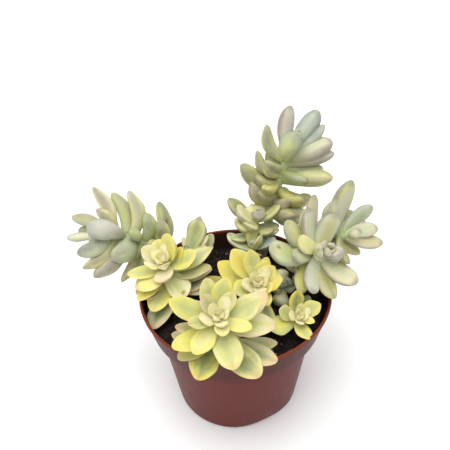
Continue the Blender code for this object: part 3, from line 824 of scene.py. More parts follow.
def stem_material(settings, weathering):
    """Material of the stems: pale green, browner towards the soil, with corky marks."""
    material, tree, shader = new_material("stem_skin")
    height = add_node(tree, "ShaderNodeSeparateXYZ", {0: object_place(tree)}).outputs[2]
    age = ramp(tree, height, (POT_HEIGHT + 14) * MM, SOIL_LEVEL * MM)
    clean = blend_colours(tree, age, opaque(settings.green), opaque(settings.bark))
    skin = weathered(tree, weathering, clean, settings.cork, 0.7, 260.0, 1800.0)
    feed(tree, shader, {
        "Base Color": skin["Colour"],
        "Roughness": 0.62,
        "Normal": bump(tree, skin["Height"], 0.5, 0.3),
        "Subsurface Weight": 0.08,
        "Subsurface Scale": 1.5 * MM,
    })
    return material


def pot_material(settings, weathering):
    """Material of the pot: satin plastic, dusty, with painted shade under the collar, a painted glow on
    the lip, and an inner wall dark with soil and painted shade.
    """
    material, tree, shader = new_material("pot_plastic")
    place = object_place(tree)
    height = add_node(tree, "ShaderNodeSeparateXYZ", {0: place}).outputs[2]
    # painted shade: the body keeps the collar's darker colour just under the collar's overhang, and fades
    # to its lighter colour lower down
    body = ramp(tree, height, (COLLAR_FOOT + 2) * MM, (COLLAR_FOOT - 12) * MM)
    colour = blend_colours(tree, body, opaque(settings.plastic), opaque(settings.body))

    # painted glow: the lip is painted a brighter orange, standing in for light that shines through the
    # thin plastic
    painted_lip_glow = ramp(tree, height, (POT_HEIGHT - LIP_DEPTH) * MM, (POT_HEIGHT - 0.2) * MM)
    colour = blend_colours(tree, times(tree, painted_lip_glow, 0.85), colour, opaque(settings.painted_lip_glow))

    # flow lines of the moulding run up the wall
    stretched = node_output(tree, "ShaderNodeMapping", {"Vector": place, "Scale": (1.0, 1.0, 0.08)})
    flow = noise_value(tree, stretched, 420.0, 3.0, 0.55)
    colour = blend_colours(tree, ramp(tree, flow, 0.35, 0.7, 0.0, 0.035), colour, opaque(settings.dust))

    # the inner wall is painted darker up to just under the lip: partly soil that watering splashes on,
    # partly painted shade inside the pot
    uneven_reach = times(tree, noise_value(tree, place, 160.0, 4.0, 0.6), 2.5 * MM)
    darkened_below_lip = ramp(tree, plus(tree, height, uneven_reach), (POT_HEIGHT + 1.0) * MM, (POT_HEIGHT - 1.5) * MM)
    darkened = times(tree, stored(tree, "pot_inside", "Fac"), darkened_below_lip)
    colour = blend_colours(tree, darkened, colour, opaque(settings.soil_stain_and_shade))

    skin = weathered(tree, weathering, colour, settings.dust, 0.16, 55.0, 1500.0)
    rough = plus(tree, ramp(tree, flow, 0.3, 0.7, 0.36, 0.46), times(tree, skin["Mask"], 0.5))
    relief = plus(tree, flow, times(tree, skin["Height"], 0.3))
    feed(tree, shader, {
        "Base Color": skin["Colour"],
        "Roughness": rough,
        "Normal": bump(tree, relief, 0.08, 0.15),
        "Specular IOR Level": 0.08,
        "Subsurface Weight": 0.05,
        "Subsurface Radius": (1.0, 0.3, 0.15),
        "Subsurface Scale": 1.5 * MM,
    })
    return material


def soil_material(settings, weathering):
    """Material of the soil bed and its crumbs, each crumb with a tone of its own."""
    material, tree, shader = new_material("potting_soil")
    tone = stored(tree, "crumb_tone", "Fac")
    dry = ramp(tree, tone, 0.45, 0.97)
    colour = blend_colours(tree, dry, opaque(settings.dark), opaque(settings.light))
    colour = blend_colours(tree, ramp(tree, tone, 0.975, 0.985), colour, opaque(settings.grit))
    skin = weathered(tree, weathering, colour, settings.light, 0.5, 300.0, 2400.0)
    feed(tree, shader, {
        "Base Color": skin["Colour"],
        "Roughness": ramp(tree, tone, 0.0, 1.0, 0.48, 0.92),
        "Normal": bump(tree, skin["Height"], 0.7, 0.5),
        "Specular IOR Level": 0.25,
    })
    return material


def add_object(name, data):
    """Add an object with this data to the scene."""
    obj = bpy.data.objects.new(name, data)
    bpy.context.scene.collection.objects.link(obj)
    return obj


def mesh_object(name, points, faces, material):
    """Make a smooth mesh object from points in millimetres."""
    mesh = bpy.data.meshes.new(name)
    mesh.from_pydata([tuple(point) for point in np.asarray(points) * MM], [], faces)
    mesh.materials.append(material)
    mesh.shade_smooth()
    return add_object(name, mesh)


def finish_piece(obj, slot, *nodes):
    """Tie a finished piece to the frame."""
    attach(obj, "root")
    if nodes:
        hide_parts(*nodes)


def curve_point(path, share):
    """Return the point at a share of the way along a shoot's curve."""
    start, lower, upper, tip = (Vector(point) for point in path)
    rest = 1.0 - share
    return (start * rest ** 3 + lower * (3 * rest ** 2 * share)
            + upper * (3 * rest * share ** 2) + tip * share ** 3)


def curve_direction(path, share):
    """Return the unit direction of growth at a share of the way along a shoot's curve."""
    start, lower, upper, tip = (Vector(point) for point in path)
    rest = 1.0 - share
    return ((lower - start) * rest ** 2 + (upper - lower) * (2 * rest * share)
            + (tip - upper) * share ** 2).normalized()


def share_at_place(path, place):
    """Return the share of a shoot's curve that ends this far below its growing tip."""
    walked = 0.0
    above = curve_point(path, 1.0)
    for step in range(1, CURVE_STEPS + 1):
        share = 1.0 - step / CURVE_STEPS
        point = curve_point(path, share)
        walked += (point - above).length
        if walked >= place:
            return share
        above = point
    return 0.0


def leaf_frame(shoot, leaf):
    """Return where a leaf starts on its stem's centre line, its direction and its upper side."""
    share = share_at_place(shoot.path, leaf.place)
    axis = curve_direction(shoot.path, share)
    front = Vector((0, -1, 0))
    near = (front - axis * front.dot(axis)).normalized()
    side = axis.cross(near)
    turn = math.radians(leaf.turn)
    lift = math.radians(leaf.lift)
    outward = near * math.cos(turn) + side * math.sin(turn)
    along = outward * math.cos(lift) + axis * math.sin(lift)
    upper = axis * math.cos(lift) - outward * math.sin(lift)
    return curve_point(shoot.path, share), along, upper


def swell_and_close(along, peak, base, shoulder, tip):
    """Return how a size grows from the foot of a leaf to its peak, and closes to the tip."""
    lower = np.clip(along / peak, 0.0, 1.0)
    upper = np.clip((along - peak) / (1.0 - peak), 0.0, 1.0)
    return (base + (1.0 - base) * np.sin(math.pi / 2 * lower) ** 1.4) * (1.0 - upper ** shoulder) ** tip


def leaf_height(form, along, angle, half_width, half_thickness):
    """Return how far the skin stands above a leaf's middle plane, at each angle of each ring.

    Angles run from one margin over the upper face to the other, and back under the leaf.
    """
    above = np.sin(angle) >= 0.0
    across = np.cos(angle)
    lens = 1.0 - across ** 2
    section = np.abs(np.sin(angle)) * (1.0 - form.edge) + lens * form.edge
    height = np.where(above, form.upper * 2, -(1.0 - form.upper) * 2) * section * half_thickness

    # a groove in the upper face, margins that rise from the midrib, and a ridge under it
    groove = form.channel * half_width * lens ** 2 * np.sin(math.pi * along)
    height = height - np.where(above, groove, 0.0)
    blade = np.sin(math.pi * along ** 0.8)
    from_midrib = np.sqrt(across ** 2 + 0.012)
    height = height + form.cup * half_width * (across ** 2 - 0.3) * blade
    height = height + form.fold * half_width * (from_midrib - 0.5) * blade
    ridge = form.keel * half_thickness * np.clip(1.0 - from_midrib, 0.0, 1.0) ** 1.3 * blade
    return height - np.where(above, 0.0, ridge)


def press_dimples(shell, seed, depth):
    """Press shallow dimples into a leaf, as its neighbours do while it grows."""
    offset = Vector((seed * 3.1, seed * 1.7, seed * 0.9))
    centre = shell.mean(axis=0)
    moved = shell.copy()
    for index, point in enumerate(shell):
        value = noise.noise(Vector(point) * DIMPLE_RATE + offset)
        away = point - centre
        moved[index] = point + away / max(np.linalg.norm(away), 0.01) * value * depth
    return moved


def leaf_shell(shoot, leaf, form, settings, seed):
    """Return a leaf's rings of points, its foot and tip, and each point's place on the leaf.

    A place is how far across the leaf it is, how far along, and how much the skin faces up there.
    """
    twist, sweep, sag, left_wave, right_wave = np.random.default_rng(seed).uniform(-1.0, 1.0, 5)
    stations = 1.0 - (1.0 - np.linspace(0.0, 1.0, settings.rings + 2)) ** RING_CROWDING
    along = stations[1:-1, None]
    angle = np.linspace(0.0, math.tau, settings.points, endpoint=False)[None, :]
    across = np.cos(angle) * np.ones_like(along)
    half_width = swell_and_close(along, form.widest, form.base, form.shoulder, form.tip)
    half_width = half_width * leaf.width / 2 * form.broad
    half_thickness = swell_and_close(along, form.thickest, THICKNESS_BASE, THICKNESS_SHOULDER,
                                     THICKNESS_TIP)
    half_thickness = half_thickness * leaf.width / 2 * shoot.plumpness * form.deep
    height = leaf_height(form, along, angle, half_width, half_thickness)

    # each margin waves in its own way, and the leaf rolls, sweeps to a side and sags
    right_share = (across + 1.0) / 2
    waves = (np.sin(along * 9.0 + left_wave * 3.0) * (1.0 - right_share)
             + np.sin(along * 8.0 + right_wave * 3.0) * right_share)
    width = across * half_width * (1.0 + UNEVENNESS * waves)
    roll = LEAF_ROLL * twist * along
    bow = form.bow * (leaf.bend + SAG_UNEVENNESS * sag) * leaf.length
    arch = np.sin(math.pi * along)
    forward = leaf.length * (1.0 + form.point * along ** 14) * along + 0.0 * across
    lateral = (width * np.cos(roll) - height * np.sin(roll)) + UNEVENNESS * sweep * leaf.length * arch
    vertical = (width * np.sin(roll) + height * np.cos(roll)) - bow * arch

    foot, direction, upper = leaf_frame(shoot, leaf)
    side = upper.cross(direction)
    foot, direction, upper, side = (np.array(vector) for vector in (foot, direction, upper, side))
    shell = (foot + forward[..., None] * direction + lateral[..., None] * side
             + vertical[..., None] * upper).reshape(-1, 3)
    shell = press_dimples(shell, seed, DIMPLE_DEPTH * leaf.width)
    tip = foot + direction * leaf.length * (1.0 + form.point)
    place = np.stack((across, along + 0.0 * across, np.sin(angle) + 0.0 * along), axis=-1)
    return shell, (foot, tip), place.reshape(-1, 3)


def leaf_faces(start, rings, sides):
    """Return the faces between a leaf's rings and to its two poles."""
    faces = []
    foot = start + rings * sides
    for side in range(sides):
        after = (side + 1) % sides
        faces.append((foot, start + after, start + side))
        for ring in range(rings - 1):
            low = start + ring * sides
            high = low + sides
            faces.append((low + side, low + after, high + after, high + side))
        last = start + (rings - 1) * sides
        faces.append((last + side, last + after, foot + 1))
    return faces


def brown_shares(place, blemish):
    """Return how brown each point is, from where a blemish is on the leaf."""
    if blemish is None:
        return np.zeros(len(place))
    apart = place - np.array(blemish[:3])
    distance = np.linalg.norm(apart * (0.3, 1.0, 0.3), axis=1)
    return np.clip(1.4 - distance / blemish[3], 0.0, 0.9)


class LeafBatch:
    """Leaves gathered into one mesh, with what the material reads about each."""

    def __init__(self, settings):
        self.settings = settings
        self.points = []
        self.faces = []
        self.values = {name: [] for name in LEAF_ATTRIBUTES}

    def add(self, shoot, leaf, seed, name=None):
        """Add one leaf as a closed skin of rings with a pole at each end."""
        form = FORMS[shoot.form]._replace(**ODD_FORMS.get(shoot.name, {}))
        form = form._replace(**ODD_FORMS.get(name, {}))
        shell, poles, place = leaf_shell(shoot, leaf, form, self.settings, seed)
        self.faces.extend(leaf_faces(len(self.points), self.settings.rings, self.settings.points))
        self.points.extend((*shell, *poles))
        count = len(shell) + len(poles)
        centre = opaque(getattr(self.settings, leaf.centre))
        margin = opaque(getattr(self.settings, leaf.margin))
        # a blue-grey leaf's mauve rim is partly its own colour and partly painted shade along its edges
        rim = self.settings.mauve_and_edge_shade
        if shoot.form == "rosette":
            rim = [value * share for value, share in zip(margin, RED_RIM)]
        for attribute, values in (
            ("leaf_place", (*place, (0.0, 0.0, 0.0), (0.0, 1.0, 0.0))),
            ("leaf_centre", [centre] * count),
            ("leaf_margin", [margin] * count),
            ("leaf_rim", [opaque(rim)] * count),
            ("leaf_marks", [(seed * 0.137, leaf.blush, form.rim)] * count),
            ("leaf_blemish", (*brown_shares(place, BLEMISHES.get(name)), 0.0, 0.0)),
        ):
            self.values[attribute].extend(values)

    def build(self, name, material):
        """Make the mesh object, with the leaves' attributes on its points."""
        obj = mesh_object(name, self.points, self.faces, material)
        for attribute_name, (kind, key) in LEAF_ATTRIBUTES.items():
            attribute = obj.data.attributes.new(attribute_name, kind, "POINT")
            values = np.asarray(self.values[attribute_name], dtype=np.float32)
            attribute.data.foreach_set(key, values.ravel())
        return obj


def heart_leaves(shoot):
    """Return the plump buds around a shoot's growing tip."""
    heart = HEART_BUDS[shoot.form]
    buds = []
    for index in range(heart.count):
        turn = GOLDEN_ANGLE * index + BUD_FIRST_TURN * shoot.radius
        size = shoot.radius * (heart.size + BUD_GROWTH * index)
        buds.append(Leaf(turn, BUD_LIFT - BUD_OPENING * index, BUD_LENGTH * size, BUD_WIDTH * size,
                         BUD_SPACING * index, heart.centre, heart.margin, BUD_BLUSH))
    return buds


def turn_apart(first, second):
    """Return how far apart two turns are around a shoot, in degrees."""
    return abs((first - second + 180) % 360 - 180)


def filler_leaves(shoot):
    """Return shorter leaves for the gaps between a shoot's listed leaves, like their neighbours."""
    lowest = max(leaf.place for leaf in shoot.leaves)
    fillers = []
    for index in range(int(lowest / FILLER_STEP)):
        place = FILLER_START + FILLER_STEP * index
        turn = (GOLDEN_ANGLE * index + FILLER_FIRST_TURN) % 360
        listed = shoot.name in LISTED_IN_FRONT and turn_apart(turn, 0) < LISTED_REACH
        crowded = any(turn_apart(leaf.turn, turn) < FILLER_CLEARANCE
                      and abs(leaf.place - place) < FILLER_REACH for leaf in shoot.leaves)
        if listed or crowded:
            continue
        like = min(shoot.leaves, key=lambda leaf: abs(leaf.place - place))
        fillers.append(like._replace(turn=turn, place=place, lift=max(like.lift, FILLER_LOWEST_LIFT),
                                     length=like.length * FILLER_SIZE))
    return fillers


def grow_leaves(settings, material):
    """Make each large leaf as its own piece, and each shoot's small leaves as one piece."""
    for number, shoot in enumerate(SHOOTS):
        first_seed = 100 * number
        small = LeafBatch(settings)
        for index, leaf in enumerate(shoot.leaves, start=1):
            node = f"{shoot.name}_leaf_{index:02d}"
            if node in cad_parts:
                large = LeafBatch(settings)
                large.add(shoot, leaf, first_seed + index, node)
                finish_piece(large.build(node + "_skin", material), shoot.slot, node)
            else:
                small.add(shoot, leaf, first_seed + index, node)
        unlisted = (*heart_leaves(shoot), *filler_leaves(shoot), *COVER_LEAVES.get(shoot.name, ()))
        for index, leaf in enumerate(unlisted, start=40):
            small.add(shoot, leaf, first_seed + index)
        finish_piece(small.build(shoot.name + "_young_leaves", material), shoot.slot)


def stem_tube(tree, path, radius, taper):
    """Add the nodes for the stem itself, and return its mesh."""
    # it tapers, swells a little here and there, and closes to a dome at the growing tip
    progress = add_node(tree, "GeometryNodeSplineParameter").outputs["Factor"]
    narrowed = node_output(tree, "ShaderNodeMapRange", {
        "Value": progress, "To Min": 1.0, "To Max": taper})
    dome = node_output(tree, "ShaderNodeMapRange", {
        "Value": progress, "From Min": DOME_START, "To Min": 1.0, "To Max": 0.0})
    dome = calculate(tree, "MAXIMUM", calculate(tree, "SQRT", dome), 0.08)
    ripple = node_output(tree, "ShaderNodeTexNoise", {"Scale": 300.0, "Detail": 2.0})
    uneven = times(tree, times(tree, narrowed, dome), plus(tree, 0.85, times(tree, ripple, 0.3)))
    sized = node_output(tree, "GeometryNodeSetCurveRadius", {"Curve": path, "Radius": uneven})
    circle = node_output(tree, "GeometryNodeCurvePrimitiveCircle", {"Resolution": 20, "Radius": radius})
    return node_output(tree, "GeometryNodeCurveToMesh", {
        "Curve": sized, "Profile Curve": circle, "Scale": uneven, "Fill Caps": True})


def stem_scars(tree, path, radius, count):
    """Add the nodes for scars that lie flat on the stem, and return them as one mesh."""
    places = add_node(tree, "GeometryNodeCurveToPoints", {"Curve": path, "Count": count}).outputs
    ball = node_output(tree, "GeometryNodeMeshUVSphere", {"Segments": 10, "Rings": 6, "Radius": radius})
    scar = node_output(tree, "GeometryNodeTransform", {"Geometry": ball, "Scale": (0.55, 0.22, 0.16)})

    # each is turned by the golden angle from the one before, and moved out to the stem's skin
    turn = times(tree, node_output(tree, "GeometryNodeInputIndex"), math.radians(GOLDEN_ANGLE))
    spin = node_output(tree, "ShaderNodeCombineXYZ", {2: turn})
    around = node_output(tree, "FunctionNodeEulerToRotation", {0: spin})
    local = node_output(tree, "FunctionNodeRotateRotation", {
        "Rotation": places["Rotation"], "Rotate By": around}, rotation_space="LOCAL")
    outward = node_output(tree, "FunctionNodeRotateVector", {"Vector": (0.0, 1.0, 0.0), "Rotation": local})
    offset = node_output(tree, "ShaderNodeVectorMath", {
        0: outward, "Scale": times(tree, radius, 0.86)}, operation="SCALE")
    moved = node_output(tree, "GeometryNodeSetPosition", {"Geometry": places["Points"], "Offset": offset})
    scars = node_output(tree, "GeometryNodeInstanceOnPoints", {
        "Points": moved, "Instance": scar, "Rotation": local})
    return node_output(tree, "GeometryNodeRealizeInstances", {"Geometry": scars})


def stem_tree(material):
    """Geometry nodes that turn a shoot's curve into its stem, with a scar for each fallen leaf."""
    tree, given, result = new_group("Stem", "GeometryNodeTree", (
        ("Geometry", "NodeSocketGeometry", None),
        ("Radius", "NodeSocketFloat", 0.002),
        ("Taper", "NodeSocketFloat", 0.8),
        ("Scars", "NodeSocketInt", 24),
    ), (("Geometry", "NodeSocketGeometry"),))
    path = node_output(tree, "GeometryNodeResampleCurve", {"Curve": given["Geometry"], "Count": 90})
    joined = add_node(tree, "GeometryNodeJoinGeometry")
    tree.links.new(stem_tube(tree, path, given["Radius"], given["Taper"]), joined.inputs[0])
    tree.links.new(stem_scars(tree, path, given["Radius"], given["Scars"]), joined.inputs[0])
    smooth = node_output(tree, "GeometryNodeSetShadeSmooth", {"Geometry": joined.outputs[0]})
    finished = node_output(tree, "GeometryNodeSetMaterial", {"Geometry": smooth, "Material": material})
    feed(tree, result, {"Geometry": finished})
    return tree


def run_tree(obj, tree, values):
    """Put a geometry tree on an object, with its inputs, and return the result as a plain mesh."""
    modifier = obj.modifiers.new("Shape", "NODES")
    modifier.node_group = tree
    for item in tree.interface.items_tree:
        if item.in_out == "INPUT" and item.name in values:
            modifier[item.identifier] = values[item.name]
    obj.update_tag()
    depsgraph = bpy.context.evaluated_depsgraph_get()
    mesh = bpy.data.meshes.new_from_object(obj.evaluated_get(depsgraph))
    obj.modifiers.remove(modifier)
    return mesh


def build_stem(settings, shoot, tree):
    """Make one shoot's stem from its curve."""
    curve = bpy.data.curves.new(shoot.name, "CURVE")
    curve.dimensions = "3D"
    curve.resolution_u = 24
    spline = curve.splines.new("BEZIER")
    spline.bezier_points.add(1)
    start, lower, upper, tip = (Vector(point) * MM for point in shoot.path)
    first, last = spline.bezier_points
    first.co = start
    first.handle_left = start - (lower - start)
    first.handle_right = lower
    last.co = tip
    last.handle_left = upper
    last.handle_right = tip + (tip - upper)
    guide = add_object(shoot.name + "_guide", curve)
    mesh = run_tree(guide, tree, {
        "Radius": shoot.radius * MM, "Taper": settings.taper, "Scars": settings.scars})
    bpy.data.objects.remove(guide, do_unlink=True)
    node = shoot.name + "_stem"
    finish_piece(add_object(node + "_skin", mesh), "stem", node)


def pot_inner_radius(height):
    """Return the radius of the pot's inner wall at a height."""
    step = COLLAR_FOOT + WALL
    if height >= step:
        share = (height - step) / (POT_HEIGHT - step)
        return COLLAR_FOOT_RADIUS - WALL + (RIM_RADIUS - COLLAR_FOOT_RADIUS) * share
    share = (height - FLOOR) / (step - FLOOR)
    return BASE_RADIUS - WALL + (BODY_TOP_RADIUS - BASE_RADIUS) * share


def arc(centre, radius, start, end, steps=6):
    """Return points of an arc in a profile, with angles in degrees."""
    points = []
    for step in range(steps + 1):
        angle = math.radians(start + (end - start) * step / steps)
        points.append((centre[0] + radius * math.cos(angle), centre[1] + radius * math.sin(angle)))
    return points


def stretch(start, end, steps):
    """Return points inside a straight stretch of a profile, without its ends."""
    points = []
    for step in range(1, steps):
        share = step / steps
        points.append((start[0] + (end[0] - start[0]) * share, start[1] + (end[1] - start[1]) * share))
    return points


def pot_profile():
    """Return the pot's outlines of (radius, height): up the outside, and down the inside."""
    outside = [(CENTRE_RADIUS, UNDERSIDE), (BASE_RADIUS - STANDING_RING - 1.0, UNDERSIDE),
               (BASE_RADIUS - STANDING_RING, 0.0)]
    outside += arc((BASE_RADIUS - BASE_ROUNDING, BASE_ROUNDING), BASE_ROUNDING, -90, -5)
    body_top = (BODY_TOP_RADIUS, COLLAR_FOOT - 1.0)
    outside += stretch(outside[-1], body_top, 12)
    outside += [body_top, (BODY_TOP_RADIUS + 0.35, COLLAR_FOOT - 0.35),
                (BODY_TOP_RADIUS + 1.2, COLLAR_FOOT)]
    outside += arc((COLLAR_FOOT_RADIUS - COLLAR_ROUNDING, COLLAR_FOOT + COLLAR_ROUNDING),
                   COLLAR_ROUNDING, -90, -10, 4)
    lip_foot = (RIM_RADIUS - 0.75, POT_HEIGHT - LIP_DEPTH)
    outside += stretch(outside[-1], lip_foot, 6)
    outside += [lip_foot, (RIM_RADIUS - 0.25, POT_HEIGHT - LIP_DEPTH + 0.3)]
    outside += arc((RIM_RADIUS - LIP_ROUNDING, POT_HEIGHT - LIP_ROUNDING), LIP_ROUNDING, 0, 90, 4)

    inside = arc((RIM_RADIUS - WALL + 0.1, POT_HEIGHT - 0.45), 0.45, 90, 180, 4)
    collar_step = (COLLAR_FOOT_RADIUS - WALL, COLLAR_FOOT + WALL)
    inside += stretch(inside[-1], collar_step, 6)
    inside += [collar_step, (BODY_TOP_RADIUS - WALL, COLLAR_FOOT + WALL - 0.4),
               (BASE_RADIUS - WALL, FLOOR + 0.6), (BASE_RADIUS - WALL - 1.0, FLOOR),
               (CENTRE_RADIUS, FLOOR)]
    return outside, inside


def dent(radius, height, angle):
    """Return a radius pressed in where the pot's foot is slightly flattened at the front."""
    turn = math.remainder(angle - DENT_TURN, math.tau)
    share = math.exp(-(turn / DENT_WIDTH) ** 2) * max(0.0, 1.0 - height / DENT_HEIGHT) ** 1.5
    return radius - DENT_DEPTH * share * radius / BASE_RADIUS


def pot_shell(material):
    """Make the pot by turning its profile, with marks on the points of its inner wall."""
    outside, inside = pot_profile()
    profile = outside + inside
    count = len(profile)
    points = []
    faces = []
    for side in range(POT_SIDES):
        angle = math.tau * side / POT_SIDES
        for radius, height in profile:
            reach = dent(radius, height, angle)
            points.append((reach * math.cos(angle), reach * math.sin(angle), height))
    for side in range(POT_SIDES):
        after = (side + 1) % POT_SIDES
        for index in range(count - 1):
            faces.append((side * count + index, after * count + index,
                          after * count + index + 1, side * count + index + 1))
    faces.append([side * count for side in range(POT_SIDES)][::-1])
    faces.append([side * count + count - 1 for side in range(POT_SIDES)])
    pot = mesh_object("pot_shell", points, faces, material)
    marks = pot.data.attributes.new("pot_inside", "FLOAT", "POINT")
    marks.data.foreach_set("value", ([0.0] * len(outside) + [1.0] * len(inside)) * POT_SIDES)
    return pot


def drain_drill(turn, material):
    """Make the cylinder that cuts the drain hole at this turn around the pot."""
    points = []
    for height in DRILL_ENDS:
        for step in range(DRILL_SIDES):
            angle = math.tau * step / DRILL_SIDES
            points.append((DRAIN_CIRCLE * math.cos(turn) + DRAIN_RADIUS * math.cos(angle),
                           DRAIN_CIRCLE * math.sin(turn) + DRAIN_RADIUS * math.sin(angle), height))
    faces = [tuple(range(DRILL_SIDES))[::-1], tuple(range(DRILL_SIDES, 2 * DRILL_SIDES))]
    for step in range(DRILL_SIDES):
        after = (step + 1) % DRILL_SIDES
        faces.append((step, after, after + DRILL_SIDES, step + DRILL_SIDES))
    return mesh_object("drill", points, faces, material)


def build_pot(material):
    """Make the pot with its drain holes."""
    pot = pot_shell(material)
    for index in range(DRAIN_COUNT):
        drill = drain_drill(math.tau * (index + 0.5) / DRAIN_COUNT, material)
        cut = pot.modifiers.new("Drain", "BOOLEAN")
        cut.operation = "DIFFERENCE"
        cut.solver = "EXACT"
        cut.object = drill
        depsgraph = bpy.context.evaluated_depsgraph_get()
        pot.data = bpy.data.meshes.new_from_object(pot.evaluated_get(depsgraph))
        pot.modifiers.clear()
        bpy.data.objects.remove(drill, do_unlink=True)
    pot.data.set_sharp_from_angle(angle=SHARP_ANGLE)
    finish_piece(pot, "pot_plastic", "pot")


def soil_height(x, y):
    """Return the height of the uneven soil surface."""
    edge = math.hypot(x, y) / RIM_RADIUS
    height = SOIL_LEVEL + SOIL_CROWN * (1.0 - edge ** 2)
    for rate_x, rate_y, phase, strength in SOIL_WAVES:
        height += SOIL_ROUGHNESS * strength * math.sin(rate_x * x + rate_y * y + phase)
    return height


def soil_surface(inset):
    """Return the points and faces of the soil's uneven top, up to this far from the wall."""
    radius = pot_inner_radius(SOIL_LEVEL) - inset
    points = [(0.0, 0.0, soil_height(0.0, 0.0))]
    for ring in range(1, SOIL_RINGS + 1):
        reach = radius * ring / SOIL_RINGS
        settle = max(0.0, 1.0 - ((radius - reach) / SOIL_SETTLED)) ** 2
        for side in range(SOIL_SIDES):
            angle = math.tau * side / SOIL_SIDES
            x = reach * math.cos(angle)
            y = reach * math.sin(angle)
            height = soil_height(x, y) * (1.0 - settle) + SOIL_LEVEL * settle
            lumps = noise.fractal(Vector((x, y, 0.0)) * LUMP_RATE, 0.9, 2.0, 4)
            points.append((x, y, height + LUMP_HEIGHT * lumps))
    faces = []
    for side in range(SOIL_SIDES):
        after = (side + 1) % SOIL_SIDES
        faces.append((0, 1 + side, 1 + after))
        for ring in range(SOIL_RINGS - 1):
            low = 1 + ring * SOIL_SIDES
            high = low + SOIL_SIDES
            faces.append((low + side, high + side, high + after, low + after))
    return points, faces


def build_soil(material):
    """Make the soil bed: its uneven top, its wall against the pot and its underside."""
    points, faces = soil_surface(SOIL_GAP)
    last = len(points) - SOIL_SIDES
    collar_step = COLLAR_FOOT + WALL + SOIL_GAP
    for radius, height in (
        (COLLAR_FOOT_RADIUS - WALL - SOIL_GAP, collar_step),
        (BODY_TOP_RADIUS - WALL - SOIL_GAP, collar_step),
        (BASE_RADIUS - WALL - 2.0, FLOOR + SOIL_GAP),
    ):
        first = len(points)
        for side in range(SOIL_SIDES):
            angle = math.tau * side / SOIL_SIDES
            points.append((radius * math.cos(angle), radius * math.sin(angle), height))
        for side in range(SOIL_SIDES):
            after = (side + 1) % SOIL_SIDES
            faces.append((last + side, first + side, first + after, last + after))
        last = first
    faces.append([last + side for side in range(SOIL_SIDES)][::-1])
    finish_piece(mesh_object("soil_bed", points, faces, material), "potting_soil", "soil")


def random_value(tree, low, high, seed, kind="FLOAT"):
    """Add a Random Value node and return its value, a number or a vector."""
    first, output = (2, 1) if kind == "FLOAT" else (0, 0)
    node = add_node(tree, "FunctionNodeRandomValue", {first: low, first + 1: high, "Seed": seed},
                    data_type=kind)
    return node.outputs[output]


def crumb_tree(material):
    """Geometry nodes that scatter uneven crumbs over a surface."""
    tree, given, result = new_group("Crumbs", "GeometryNodeTree", (
        ("Geometry", "NodeSocketGeometry", None),
        ("Density", "NodeSocketFloat", 100000.0),
        ("Size", "NodeSocketFloat", 0.001),
        ("Flatness", "NodeSocketFloat", 0.7),
        ("Detail", "NodeSocketInt", 1),
        ("Seed", "NodeSocketInt", 1),
    ), (("Geometry", "NodeSocketGeometry"),))
    scattered = add_node(tree, "GeometryNodeDistributePointsOnFaces", {
        "Mesh": given["Geometry"], "Density": given["Density"], "Seed": given["Seed"]})
    crumb = node_output(tree, "GeometryNodeMeshIcoSphere", {
        "Radius": given["Size"], "Subdivisions": given["Detail"]})
    turn = random_value(tree, (0.0, 0.0, 0.0), (math.tau,) * 3, given["Seed"], "FLOAT_VECTOR")
    wide = random_value(tree, 0.45, 1.5, 7)
    long = random_value(tree, 0.55, 2.1, 8)
    size = node_output(tree, "ShaderNodeCombineXYZ", {
        0: wide, 1: long, 2: times(tree, wide, given["Flatness"])})
    crumbs = node_output(tree, "GeometryNodeInstanceOnPoints", {
        "Points": scattered.outputs["Points"], "Instance": crumb, "Rotation": turn, "Scale": size})
    toned = node_output(tree, "GeometryNodeStoreNamedAttribute", {
        "Geometry": crumbs, "Name": "crumb_tone", "Value": random_value(tree, 0.0, 1.0, 9)},
        data_type="FLOAT", domain="INSTANCE")
    real = node_output(tree, "GeometryNodeRealizeInstances", {"Geometry": toned})

    # noise pushes each crumb's points about, so that none is a plain ball
    position = node_output(tree, "GeometryNodeInputPosition")
    rough = add_node(tree, "ShaderNodeTexNoise", {"Vector": position, "Scale": 1400.0, "Detail": 1.0})
    centred = node_output(tree, "ShaderNodeVectorMath", {
        0: rough.outputs["Color"], 1: (0.5, 0.5, 0.5)}, operation="SUBTRACT")
    offset = node_output(tree, "ShaderNodeVectorMath", {
        0: centred, "Scale": given["Size"]}, operation="SCALE")
    uneven = node_output(tree, "GeometryNodeSetPosition", {"Geometry": real, "Offset": offset})
    finished = node_output(tree, "GeometryNodeSetMaterial", {"Geometry": uneven, "Material": material})
    feed(tree, result, {"Geometry": finished})
    return tree


def scatter_crumbs(settings, material):
    """Scatter fine crumbs and larger chips over the soil bed."""
    tree = crumb_tree(material)
    for name, inset, values in (
        ("soil_crumbs", 1.3, {"Density": settings.crumb_density, "Size": settings.crumb_size,
                              "Flatness": 0.8, "Detail": 1, "Seed": 4}),
        ("soil_chips", 3.8, {"Density": settings.chip_density, "Size": settings.chip_size,
                             "Flatness": 0.5, "Detail": 2, "Seed": 11}),
    ):
        points, faces = soil_surface(inset)
        ground = mesh_object("ground", points, faces, material)
        mesh = run_tree(ground, tree, values)
        bpy.data.objects.remove(ground, do_unlink=True)
        finish_piece(add_object(name, mesh), "potting_soil")


def add_sun(settings):
    """Add the broad light overhead."""
    light = bpy.data.lights.new("overhead", "SUN")
    light.energy = settings.sun
    light.angle = settings.sun_size
    obj = add_object("overhead", light)
    obj.rotation_euler = SUN_DIRECTION.to_track_quat("-Z", "Y").to_euler()


